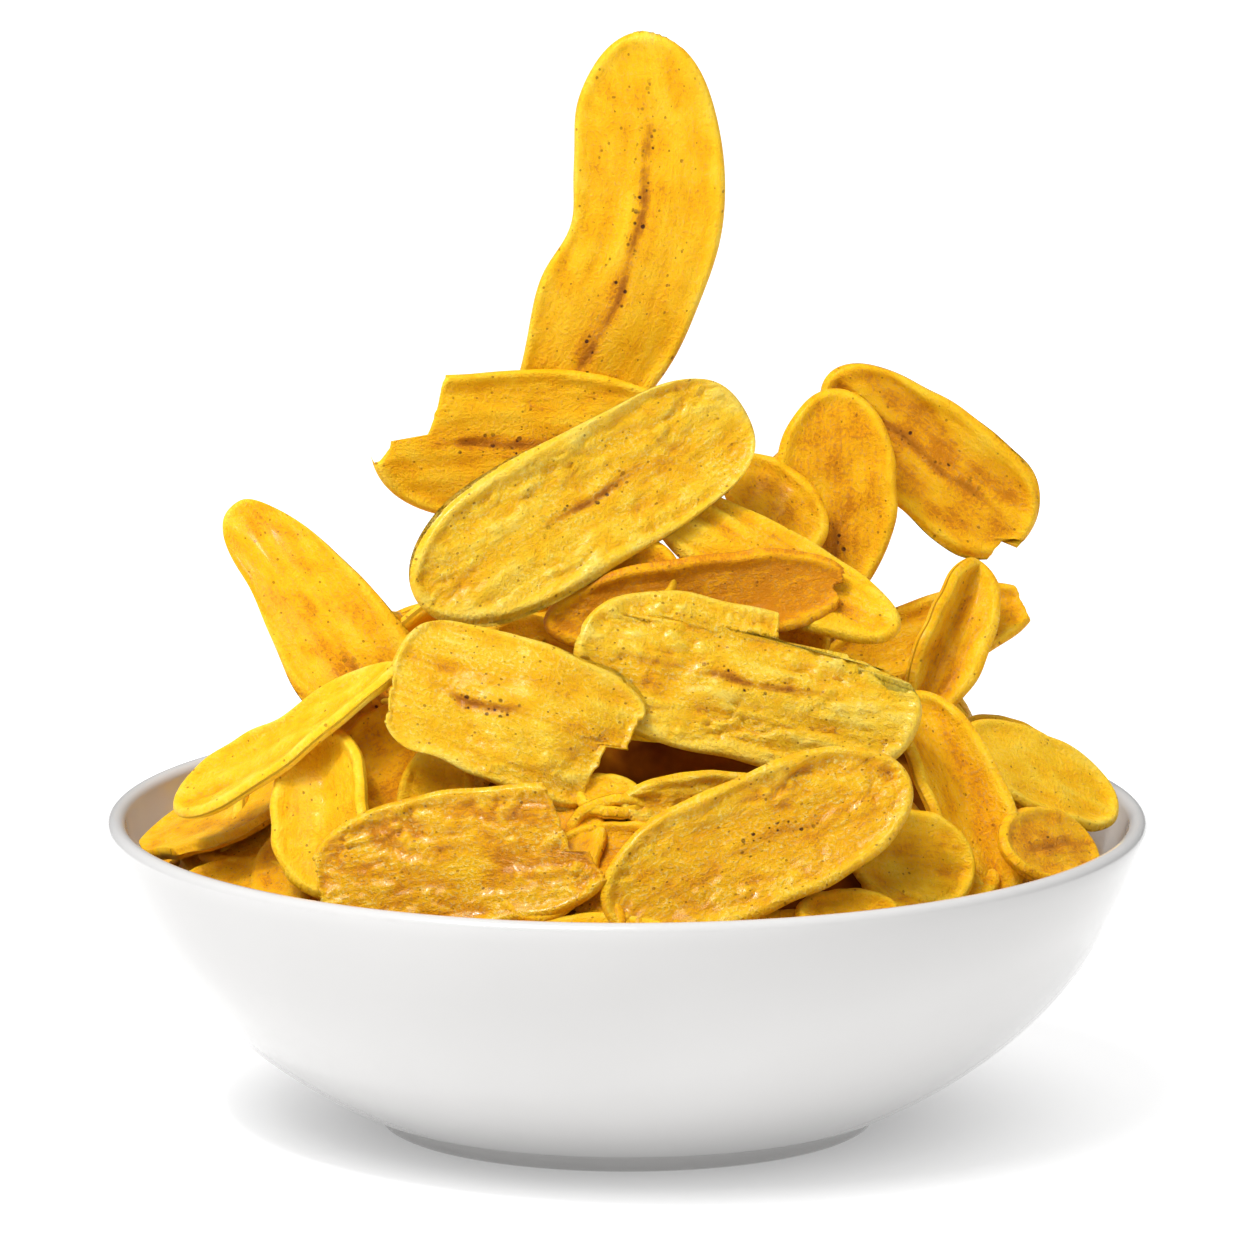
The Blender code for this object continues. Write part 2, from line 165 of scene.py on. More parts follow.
def softNoise(x, y, seed):
    # smooth values from -1 to 1 that change over a distance of about 1
    rows, columns = chanceTables["noise"]
    draw = np.random.RandomState(seed % chanceTables["seedLimit"])
    table = draw.uniform(-1, 1, (rows, columns))
    i, j = np.floor(x).astype(int), np.floor(y).astype(int)
    u, v = x - i, y - j
    u, v = u * u * (3 - 2 * u), v * v * (3 - 2 * v)
    near, far = [table[i % rows, b % columns] * (1 - u) + table[(i + 1) % rows, b % columns] * u
                 for b in (j, j + 1)]
    return near * (1 - v) + far * v


def blisterField(x, y, seed):
    # round bubbles of uneven height and size, 0 to 1, about one for each unit square
    c = chanceTables
    rows, columns = c["blisters"]
    draw = np.random.RandomState(seed % c["seedLimit"])
    offX, offY = draw.uniform(0, 1, (rows, columns)), draw.uniform(0, 1, (rows, columns))
    size = draw.uniform(*c["blisterSizes"], (rows, columns))
    high = draw.uniform(*c["blisterHeights"], (rows, columns))
    i, j = np.floor(x).astype(int), np.floor(y).astype(int)
    best = np.zeros_like(x)
    for di in (-1, 0, 1):
        for dj in (-1, 0, 1):
            a, b = (i + di) % rows, (j + dj) % columns
            far = ((x - i - di - offX[a, b]) ** 2 + (y - j - dj - offY[a, b]) ** 2) / size[a, b] ** 2
            best = np.maximum(best, high[a, b] * np.clip(1 - far, 0, 1) ** 0.8)
    return best


# the bowl: white porcelain, thrown round and glazed all over

bowlSizes = {"rimRadius": 120.0, "height": 71.5, "rimThickness": 4.4, "ellipseLevel": 84.0,
             "outerSemi": (121.4, 92.5), "innerSemi": (117.2, 86.5), "floorLevel": 8.0,
             "footRadius": 57.0, "footHeight": 4.6, "footWidth": 5.5, "recess": 2.8,
             "floorRise": 0.35, "wallSteps": 33, "rimSteps": 14, "crowding": 1.6, "steps": 224}


def ellipseRadius(level, semi):
    drop = (bowlSizes["ellipseLevel"] - level) / semi[1]
    return semi[0] * math.sqrt(max(0.0, 1 - drop * drop))


def innerRadius(level):
    return ellipseRadius(level, bowlSizes["innerSemi"])


def outerRadius(level):
    return ellipseRadius(level, bowlSizes["outerSemi"])


def makeBowl():
    s = bowlSizes
    middle = s["height"] - s["rimThickness"] / 2
    shares = (np.arange(s["wallSteps"] + 1) / s["wallSteps"]) ** s["crowding"]
    low = s["floorLevel"] + s["floorRise"]
    inner = [(innerRadius(z), z) for z in low + (middle - s["floorLevel"] - s["floorRise"]) * shares]
    # the floor runs into the wall through a soft curve
    start = inner[0][0]
    floor = [(start * k / 5, s["floorLevel"]) for k in range(5)]
    floor.append((start * 0.93, s["floorLevel"] + 0.08))
    outer = [(outerRadius(z), z) for z in s["footHeight"] + (middle - s["footHeight"]) * shares]
    centre = (inner[-1][0] + outer[-1][0]) / 2
    half = (outer[-1][0] - inner[-1][0]) / 2
    rim = []
    for i in range(1, s["rimSteps"]):
        angle = math.pi * (1 - i / s["rimSteps"])
        rim.append((centre + half * math.cos(angle),
                    middle + s["rimThickness"] / 2 * math.sin(angle)))
    # the wall meets the foot ring in a small hollow, and the ring's edge is rounded
    footOuter, footInner = s["footRadius"], s["footRadius"] - s["footWidth"]
    foot = [(footOuter + 1.6, 4.0), (footOuter + 0.5, 3.0), (footOuter + 0.15, 1.6),
            (footOuter, 0.9), (footOuter - 0.35, 0.3), (footOuter - 0.9, 0.0),
            (footInner + 0.9, 0.0), (footInner + 0.3, 0.3), (footInner, 0.9), (footInner - 0.3, 2.0),
            (footInner - 1.2, s["recess"]), (30, s["recess"]), (0, s["recess"])]
    return turned("porcelainBowl", floor + inner + rim + outer[::-1] + foot, s["steps"])


# sizes in mm: how far the tint drifts, and the width and height of the glaze's waves
glaze = {"tints": ("#C7C6C5", "#CCCBCA"), "driftSize": 71.4, "peelSize": 16.7, "peelHeight": 0.6,
         "roughness": (0.10, 0.17)}


def porcelainMaterial():
    # glazed porcelain: glassy clear glaze over a white body, so the eye sees a soft white wall
    # with sharp small highlights, and a faint waviness where the glaze ran
    material, tree, shader = newMaterial("glazedPorcelain", {
        "IOR": 1.52, "Coat Weight": 0.3, "Coat Roughness": 0.05})
    place = addNode(tree, "ShaderNodeTexCoord").outputs["Object"]
    drift, peel = [addNode(tree, "ShaderNodeTexNoise", {"Scale": 1 / (glaze[size] * mm), "Detail": detail},
                           {"Vector": place}).outputs["Fac"]
                   for size, detail in (("driftSize", 2.0), ("peelSize", 1.0))]
    tint = addNode(tree, "ShaderNodeValToRGB", None, {"Fac": drift})
    setStops(tint, [(0.3, glaze["tints"][0]), (0.7, glaze["tints"][1])])
    bump = addNode(tree, "ShaderNodeBump", {"Strength": 0.06, "Distance": glaze["peelHeight"] * mm},
                   {"Height": peel})
    rough = addNode(tree, "ShaderNodeMapRange", {"To Min": glaze["roughness"][0],
                                                 "To Max": glaze["roughness"][1]}, {"Value": drift})
    tree.links.new(tint.outputs["Color"], shader.inputs["Base Color"])
    tree.links.new(rough.outputs["Result"], shader.inputs["Roughness"])
    tree.links.new(bump.outputs["Normal"], shader.inputs["Normal"])
    return material


# the crisps: where each lies, from one end to the other, in mm
# width: across the slice; face: the way its broad side looks; sag: bend in its own plane, mm;
# bow, cup: how far ends and edges lift, mm; fold, twist, bend: degrees that each half turns up
# about the vein, that the slice turns about its length, and that it bends at one place;
# split: where across it a tear runs, from -1 to 1; head, tail: where along it the halves below
# and above the tear break off; skew: how slanting the breaks are; flare: wider towards the end;
# blunt: how full each end is; dents: (place, side, depth in mm) of hollows in the outline

crispPlaces = {
    "upright": dict(start=(1, 17, 251), end=(-24, 13, 158), width=37, face=(0, -1, 0.1), sag=-13,
                    bow=-2, cup=-1.5, blunt=(3.2, 3), dents=((-0.1, -1, -3), (0.8, -1, -3))),
    "upperLeft": dict(start=(-59, 2, 158), end=(17, 9, 156), width=34, face=(0, -1, 0.15),
                      split=0.1, head=(-0.88, -0.66), skew=(0.12, 0), bow=2, cup=-1, blunt=(4, 2.4)),
    "upperFront": dict(start=(-48, -50, 132), end=(27, -14, 169), width=33, face=(0.1, -1, 0.3),
                       bow=-2, cup=2, flare=-0.12, blunt=(3, 6)),
    "leftBroken": dict(start=(-90, -15, 147), end=(-44, -53, 94), width=28, face=(-0.1, -1, 0.2),
                       tail=(0.8, 0.7), flare=0.3, blunt=(3.2, 2.4), bow=-3,
                       dents=((-0.45, -1, -3),)),
    "rightLeaning": dict(start=(46, 12, 172), end=(92, 17, 133), width=27, face=(0.1, -1, 0.25),
                         split=-0.4, tail=(0.86, 1), cup=2, flare=0.1, blunt=(2.4, 4)),
    "frontBent": dict(start=(-54, -67, 119), end=(4, -69, 99), width=34, face=(0.05, -1, 0.45),
                      head=(-0.97, -0.97), tail=(0.7, 0.86), cup=-2, flare=0.12, blunt=(10, 5),
                      bend=-16, skew=(-0.06, 0.06)),
    "smallUpper": dict(start=(24, 1, 154), end=(44, -11, 136), width=18, face=(0.2, -1, 0.5), cup=2),
    "creased": dict(start=(5, -24, 151), end=(62, -38, 122), width=22, face=(0.2, -1, 0.9), cup=-3),
    "shadedMiddle": dict(start=(-19, -44, 125), end=(51, -34, 133), width=21, face=(0, -1, 0.35),
                       tail=(0.9, 0.96), cup=3, blunt=(2.4, 3)),
    "leaf": dict(start=(48, 7, 170), end=(48, -5, 122), width=28, face=(0.1, -1, 0.1), cup=2,
                 blunt=(2.4, 1.6)),
    "farRight": dict(start=(44, -8, 106), end=(94, 15, 119), width=18, face=(0, -1, 0.5),
                     tail=(0.88, 0.88)),
    "longLeft": dict(start=(-103, -42, 83), end=(-51, -57, 118), width=26, face=(-0.25, -0.35, 1),
                     sag=5, fold=8, twist=-20, dents=((0, 1, -4),)),
    "foldedUpper": dict(start=(81, 6, 130), end=(65, -14, 96), width=21, face=(0.5, -1, 0.2), fold=35),
    "foldedLower": dict(start=(64, -38, 108), end=(86, -54, 61), width=24, face=(0.5, -1, 0.4), fold=30),
    "middleTorn": dict(start=(-12, -59, 123), end=(67, -55, 106), width=36, face=(0, -1, 0.45),
                       split=0.6, head=(-1, -0.98), tail=(1, 0.12), cup=-2, blunt=(4, 4.5)),
    "frontOval": dict(start=(-5, -97, 69), end=(64, -73, 96), width=32, face=(0.1, -1, 0.45),
                      cup=3, blunt=(2.8, 2.6)),
    "frontNotched": dict(start=(-72, -83, 74), end=(-2, -92, 85), width=32,
                         face=(-0.05, -1, 0.35), split=-0.1, head=(-0.95, -0.95),
                         tail=(0.8, 0.68), skew=(0, -0.1), blunt=(2.6, 4)),
    "leftCrescent": dict(start=(-68, -58, 103), end=(-67, -80, 69), width=27, face=(-0.6, -1, 0.4),
                         fold=22),
    "leftWavy": dict(start=(-110, -2, 67), end=(-78, -39, 82), width=30, face=(-0.2, -0.5, 1), flare=0.3),
    "leftLow": dict(start=(-101, -36, 64), end=(-74, -76, 66), width=22, face=(-0.1, -0.8, 1)),
    "rightBack": dict(start=(74, -8, 90), end=(101, -2, 82), width=24, face=(0.3, -0.6, 1)),
    "rightLong": dict(start=(76, -23, 93), end=(113, -5, 74), width=25, face=(0.3, -0.8, 1)),
    "rightRound": dict(start=(86, -60, 75), end=(106, -32, 72), width=21, face=(0.3, -1, 0.8)),
    "rightLow": dict(start=(50, -74, 79), end=(79, -61, 71), width=25, face=(0.2, -1, 0.6)),
    "rimSliver": dict(start=(38, -90, 67), end=(62, -82, 66), width=13, face=(0.1, -1, 1)),
    "curlLeft": dict(start=(-12, -74, 92), end=(4, -74, 90), width=13, face=(0, -0.7, 1)),
    "curlRight": dict(start=(-2, -77, 90), end=(38, -66, 87), width=16, face=(0.2, -1, 0.5),
                      fold=12, blunt=(1.8, 2.4)),
    "curlLow": dict(start=(-14, -77, 78), end=(7, -74, 87), width=20, face=(0.2, -1, 0.3),
                    fold=25),
    "underCurl": dict(start=(-17, -83, 80), end=(12, -82, 80.5), width=15, face=(0.05, -0.75, 0.65)),
    "gapEdge": dict(start=(-6, -58, 103), end=(22, -56, 100), width=12, face=(0.05, 0.1, 1)),
    "leftInner": dict(start=(-63, -64, 89), end=(-40, -56, 103), width=28, face=(-0.2, -1, 0.4)),
    "leftUnder": dict(start=(-52, -65, 91), end=(-35, -71, 89), width=24, face=(-0.2, -1, 0.4)),
    "leftEdge": dict(start=(-64, -53, 93), end=(-52, -47, 108), width=16, face=(-0.9, -0.8, 0.3)),
    "middleLeft": dict(start=(-34, -32, 116), end=(-6, -32, 113), width=22, face=(0, -1, 1)),
    "middleUpper": dict(start=(-15, -38, 130), end=(12, -36, 137), width=20, face=(0, -1, 0.6)),
    "propLeft": dict(start=(-36, 40, 92), end=(-10, 14, 160), width=32, face=(0, 1, 0.4),
                     bow=3, blunt=(3, 3)),
    "propMiddle": dict(start=(2, 8, 98), end=(-14, -16, 146), width=30, face=(-0.2, 1, 0.5), bow=-3),
    "propRight": dict(start=(28, 34, 94), end=(47, 6, 160), width=28, face=(0.2, 1, 0.4),
                      cup=2, blunt=(3, 2.4)),
    "propLow": dict(start=(24, -8, 100), end=(40, -34, 130), width=26, face=(0.3, 1, 0.6)),
}

# how each fried: kind: the piece that it goes into; blister, crease: relief in mm; jag: how
# ragged its breaks are, mm; toast: towards orange, or cream where negative; vein: how brown its
# middle line is; seedAt, seedReach: where its seeds gather, as a share of the half length
crispLooks = {
    "upright": dict(kind="satin", blister=0.10, crease=0.2, toast=0.12, vein=0.8, seedAt=0.05,
                    seedReach=0.75),
    "upperLeft": dict(kind="satin", jag=0.35, blister=0.14, crease=0.25, toast=0.1, vein=0.9, seedAt=-0.2,
                      seedReach=0.35),
    "upperFront": dict(kind="blistered", blister=0.5, crease=0.35, toast=-0.15, vein=1.0, seedAt=0.02,
                       seedReach=0.25),
    "leftBroken": dict(kind="satin", blister=0.10, crease=0.2, toast=0.25, vein=0.9, seedAt=0.5,
                       seedReach=0.3),
    "rightLeaning": dict(kind="satin", jag=0.3, blister=0.14, crease=0.3, toast=0.4, vein=0.9, seedAt=0,
                         seedReach=0.5),
    "frontBent": dict(kind="blistered", blister=0.4, crease=0.35, toast=-0.08, vein=1.0, seedAt=-0.25,
                      seedReach=0.25),
    "smallUpper": dict(kind="satin", blister=0.12, toast=0.4, vein=0.2),
    "creased": dict(kind="creased", crease=0.45, toast=0.2, vein=0.1),
    # this slice's high toast is painted shade for a face that lies in shade
    "shadedMiddle": dict(kind="satin", blister=0.12, toast=0.85, vein=0.1),
    "leaf": dict(kind="satin", blister=0.12, crease=0.15, toast=0.42, vein=0.9, seedAt=0.55, seedReach=0.3),
    "farRight": dict(kind="creased", jag=0.2, crease=0.3, toast=0.3, vein=0.2),
    "longLeft": dict(kind="creased", crease=0.35, toast=-0.05, vein=0.2),
    "foldedUpper": dict(kind="creased", crease=0.25, toast=0.3, vein=0.3),
    "foldedLower": dict(kind="creased", crease=0.3, toast=0.3, vein=0.2),
    "middleTorn": dict(kind="blistered", blister=0.6, crease=0.5, toast=-0.15, vein=1.0,
                       seedAt=0.05, seedReach=0.35),
    "frontOval": dict(kind="blistered", blister=0.5, crease=0.2, toast=0.22, vein=0.35, seedAt=0.1,
                      seedReach=0.3),
    "frontNotched": dict(kind="blistered", blister=0.6, crease=0.15, toast=0.38, vein=0.3),
    "leftCrescent": dict(kind="satin", blister=0.12, toast=0.05, vein=0.2),
    "leftWavy": dict(kind="creased", crease=0.2, blister=0.15, toast=0.3, vein=0.2),
    "leftLow": dict(kind="satin", blister=0.15, toast=0.4, vein=0.2),
    "rightBack": dict(kind="creased", crease=0.3, toast=0.2, vein=0.2),
    "rightLong": dict(kind="creased", crease=0.25, toast=0.0, vein=0.2),
    "rightRound": dict(kind="satin", blister=0.2, toast=0.5, vein=0.9, seedAt=0, seedReach=0.4),
    "rightLow": dict(kind="creased", crease=0.3, toast=0.2, vein=0.2),
    "rimSliver": dict(kind="satin", blister=0.12, toast=0.3, vein=0.1),
    "curlLeft": dict(kind="creased", crease=0.2, toast=0.25, vein=0.1),
    "curlRight": dict(kind="blistered", blister=0.35, crease=0.3, toast=0.1, vein=0.2),
    "curlLow": dict(kind="creased", crease=0.2, toast=0.3, vein=0.1),
    "underCurl": dict(kind="creased", crease=0.2, toast=0.5, vein=0.1),
    "gapEdge": dict(kind="creased", crease=0.15, toast=0.3, vein=0.1),
    "leftInner": dict(kind="satin", blister=0.2, toast=0.4, vein=0.2),
    "leftUnder": dict(kind="satin", blister=0.15, toast=0.1, vein=0.1),
    "leftEdge": dict(kind="satin", blister=0.1, toast=-0.1, vein=0.1),
    "middleLeft": dict(kind="satin", blister=0.15, toast=0.35, vein=0.2),
    "middleUpper": dict(kind="satin", blister=0.15, toast=0.35, vein=0.2),
    "propLeft": dict(kind="back", blister=0.25, toast=0.2, vein=0.5, seedAt=0, seedReach=0.3),
    "propMiddle": dict(kind="back", blister=0.15, toast=0.3, vein=0.4),
    "propRight": dict(kind="back", blister=0.2, toast=0.3, vein=0.5, seedAt=0.2, seedReach=0.3),
    "propLow": dict(kind="back", blister=0.15, toast=0.4, vein=0.3),
}

crispSizes = {
    "thickness": 2.0, "thinMiddle": 1.5, "rimThickness": 3.2, "plumpPlace": 1.5, "plumpReach": 1.7,
    "edgeRound": 1.35, "breakBlunt": 1.8, "heapGap": 0.45, "clearance": 0.5,
    "tipShare": 0.03, "splitGap": 0.04, "edgeWaver": 0.045, "faceWaver": 0.4, "dentReach": 0.3,
    "foldRounding": 0.02, "bendPlace": 0.2, "bendSharpness": 14.0,
    # ragged breaks: how far they wander, over which lengths, and where an end counts as whole
    "jag": 0.6, "jagWidths": (5, 1.9), "wholeEnd": 0.97,
    # how the mesh crowds towards the rim, lengthwise and across
    "crowding": (1.55, 1.5),
    # relief: bubbles and folds by length and width, mm, and where it fades at the rim
    "reliefGain": 1.7, "heave": 0.45, "heaveSize": (11, 8), "fade": (0.8, 2.2),
    "bubbleSizes": (4.2, 2.6), "smallBubbleSizes": (1.9, 1.5), "smallBubbles": 0.6, "sunkBetween": 0.35,
    "wrinkles": 0.45, "foldSizes": (20, 3.2), "smallFoldSizes": (9, 1.5), "smallFolds": 0.55,
    "veinDrift": 1.1, "veinWave": 45, "veinEnd": 0.86, "groove": (0.3, 0.8), "ridges": (0.22, 1.9, 1.0),
    # how far the pale rim reaches in, and what keeps the patterns of two slices or sides apart
    "paleReach": 2.6, "patternStep": 40.0, "lowSideStep": 500,
}
fineCells = {"satin": (80, 38), "blistered": (130, 58), "creased": (92, 38), "back": (58, 26),
             "inner": (26, 14)}

# the rings over the back and flanks repeat by a rule, with seeded chance
backRings = (dict(radius=90, count=9, first=-6, last=190, lean=20),
             dict(radius=68, count=8, first=14, last=206, lean=22),
             dict(radius=44, count=5, first=34, last=206, lean=20),
             dict(radius=20, count=2, first=10, last=220, lean=16))
# lowered: two of them sit a little lower, out of sight behind the slices in front
ringChance = dict(lift=(0.5, 4.5), yaw=1.2, lengths=(52, 74), widths=(27, 35), bow=(-4, 5),
                  cup=(-2, 3), sag=(-5, 5), seed=11, lowered={0: 5.0, 8: 6.5})
# smaller broken slices under the ones that show: none near the pocket, deep below the front oval
innerChance = dict(count=88, seed=5, reach=100, spread=(0.94, 1.04), turn=2.39996, jitter=0.3,
                   lean=9, sway=0.12, lengths=(30, 46), lift=(-4.5, -1.5), widths=(20, 28),
                   bow=(-2, 3), cup=(-1, 2), sag=(-3, 3), clearHalf=2.5, clearFront=(-74, -34),
                   ovalFront=-66, ovalSides=(-8, 68), ovalDrop=14)
# a low ring of them covers the core along the wall of the bowl, under the line of the rim
wallChance = dict(count=15, radius=103, sunk=4, jitter=0.2, slant=0.08, tilt=(42, 52),
                  lengths=(40, 48), widths=(22, 27), bow=(0, 3), cup=(-1, 2), sag=(-2, 2))
# the core: a dome on the bowl's inside, with lumps (height, width) and one deep pocket
coreSizes = dict(rimLevel=55.0, topLevel=116.0, fullness=2.3, radius=109.0, edgeGap=1.2, floorGap=2.5,
                 wallGap=1.35, wallTop=52.0, sunk=4.0, domeSteps=60, wallSteps=14, steps=160,
                 lumps=((2.6, 11, 301), (1.4, 4.5, 302)), calmBelow=(2, 8),
                 pocket=(7.0, -55.0), pocketHalf=(15.0, 9.0), pocketDepth=15.0)
upward = np.array([0, 0, 1.0])


def unit(vector):
    return np.asarray(vector, float) / np.linalg.norm(vector)


def domeLevel(radius):
    c = coreSizes
    share = np.minimum(1, np.asarray(radius, float) / c["radius"])
    return c["rimLevel"] + (c["topLevel"] - c["rimLevel"]) * (1 - share ** c["fullness"])


def arcLine(endAngle, at, bend=0.0):
    # places and directions along a line of length 2 that turns steadily
    fine = np.linspace(-1, 1, 161)
    angle = endAngle * fine
    past = (fine - crispSizes["bendPlace"]) * crispSizes["bendSharpness"]
    angle = angle + math.radians(bend) / (1 + np.exp(-past))
    step = fine[1] - fine[0]
    forward = np.concatenate([[0], np.cumsum(np.cos((angle[1:] + angle[:-1]) / 2) * step)])
    aside = np.concatenate([[0], np.cumsum(np.sin((angle[1:] + angle[:-1]) / 2) * step)])
    chord, turn = math.hypot(forward[-1], aside[-1]), math.atan2(aside[-1], forward[-1])
    x, y = np.interp(at, fine, forward), np.interp(at, fine, aside)
    return ((x * math.cos(turn) + y * math.sin(turn)) * 2 / chord - 1,
            (y * math.cos(turn) - x * math.sin(turn)) * 2 / chord, np.interp(at, fine, angle) - turn)


def crispSurface(along, across, place, seed, jag=0.0):
    # the middle surface in mm, with flat coordinates and the distance to the outline
    p = dict(sag=0, bow=0, cup=1, fold=0, twist=0, bend=0, flare=0, split=0, head=(-1, -1),
             tail=(1, 1), skew=(0, 0), blunt=(2.4, 2.4), dents=())
    p.update(place)
    s, whole = crispSizes, crispSizes["wholeEnd"]
    start, end, width = np.asarray(p["start"], float), np.asarray(p["end"], float), p["width"]
    length = np.linalg.norm(end - start)
    lowHalf = across < p["split"]
    first = np.maximum(np.where(lowHalf, p["head"][0], p["head"][1]) + p["skew"][0] * across, -1)
    last = np.minimum(np.where(lowHalf, p["tail"][0], p["tail"][1]) + p["skew"][1] * across, 1)
    at = first + (last - first) * (along + 1) / 2
    # broken ends are ragged: the break wanders by about a millimetre
    wide, fine = s["jagWidths"]
    ragged = jag * 2 / length * (softNoise(across * width / wide + 9, across * 0 + seed, seed + 31)
                                 + 0.5 * softNoise(across * width / fine + 3, across * 0 + seed, seed + 32))
    at = at + ragged * np.where(along > 0, last < whole, first > -whole) * along ** 4
    power = np.where(at < 0, p["blunt"][0], p["blunt"][1])
    halfWidth = np.sqrt(np.maximum(0, 1 - np.abs(at) ** power))
    halfWidth = np.maximum(halfWidth, s["tipShare"]) * (1 + p["flare"] * at)
    waver = 1 + s["edgeWaver"] * np.where(across < 0, smoothWave(seed)(at), smoothWave(seed + 50)(at))
    y = across * halfWidth * waver * width / 2
    for dentAt, side, depth in p["dents"]:
        near = np.exp(-((at - dentAt) / s["dentReach"]) ** 2)
        y = y + side * depth * near * np.maximum(0, side * across)
    flatX, flatY = at * length / 2, y.copy()

    # distance to the outline, from the slice's own rounded shape
    share = across * halfWidth
    inside = np.maximum(0, 1 - np.abs(at) ** power - share ** 2)
    slope = np.hypot(power * np.abs(at) ** (power - 1) / (length / 2), 2 * share / (width / 2)) + 1e-6
    outline = inside / np.maximum(slope, 0.02)
    farAway = 99
    broken = np.minimum(
        np.where(first > -whole, (along + 1) / 2 * (last - first) * length / 2, farAway),
        np.where(last < whole, (1 - along) / 2 * (last - first) * length / 2, farAway))

    # sag and fold, then twist and bow
    middle, off, direction = arcLine(4 * p["sag"] / length, at)
    x = middle * length / 2 - np.sin(direction) * y
    y = off * length / 2 + np.cos(direction) * y
    angle = math.radians(p["fold"])
    lift = np.sqrt(share ** 2 + s["foldRounding"]) - math.sqrt(s["foldRounding"])
    z = p["cup"] * share ** 2 + lift * width / 2 * math.sin(angle)
    z = z + s["faceWaver"] * smoothWave(seed + 7)(0.9 * at + 0.3 * share)
    y = y - share * width / 2 * (1 - math.cos(angle))
    turn = np.radians(p["twist"]) * x / length
    y, z = y * np.cos(turn) - z * np.sin(turn), y * np.sin(turn) + z * np.cos(turn)
    middle, off, direction = arcLine(4 * p["bow"] / length, np.clip(2 * x / length, -1.2, 1.2), p["bend"])
    x = middle * length / 2 - np.sin(direction) * z
    z = off * length / 2 + np.cos(direction) * z
    ahead = unit(end - start)
    outward = np.asarray(p["face"], float)
    outward = unit(outward - ahead * (outward @ ahead))
    sideways = np.cross(outward, ahead)
    points = (start + end) / 2 + x[..., None] * ahead + y[..., None] * sideways + z[..., None] * outward
    return points, flatX, flatY, outline, broken


def keptInBowl(points):
    # draws in what would pass through the wall of the bowl
    s = crispSizes
    margin = s["thickness"] / 2 + s["heapGap"] + s["clearance"]
    reach = np.hypot(points[..., 0], points[..., 1])
    level = np.minimum(points[..., 2], bowlSizes["height"]) - s["thickness"] / 2
    drop = (bowlSizes["ellipseLevel"] - level) / bowlSizes["innerSemi"][1]
    wall = bowlSizes["innerSemi"][0] * np.sqrt(np.maximum(0, 1 - drop * drop)) - margin
    most = np.where(points[..., 2] < bowlSizes["height"] + s["thickness"], wall,
                    bowlSizes["rimRadius"] - bowlSizes["rimThickness"] / 2)
    factor = np.minimum(1, most / np.maximum(reach, 1e-6))
    out = points.copy()
    out[..., 0] *= factor
    out[..., 1] *= factor
    return out


def edgeCrowded(count, power):
    # values from -1 to 1 that crowd towards both ends
    even = np.linspace(-1, 1, count)
    return np.sign(even) * (1 - (1 - np.abs(even)) ** power)


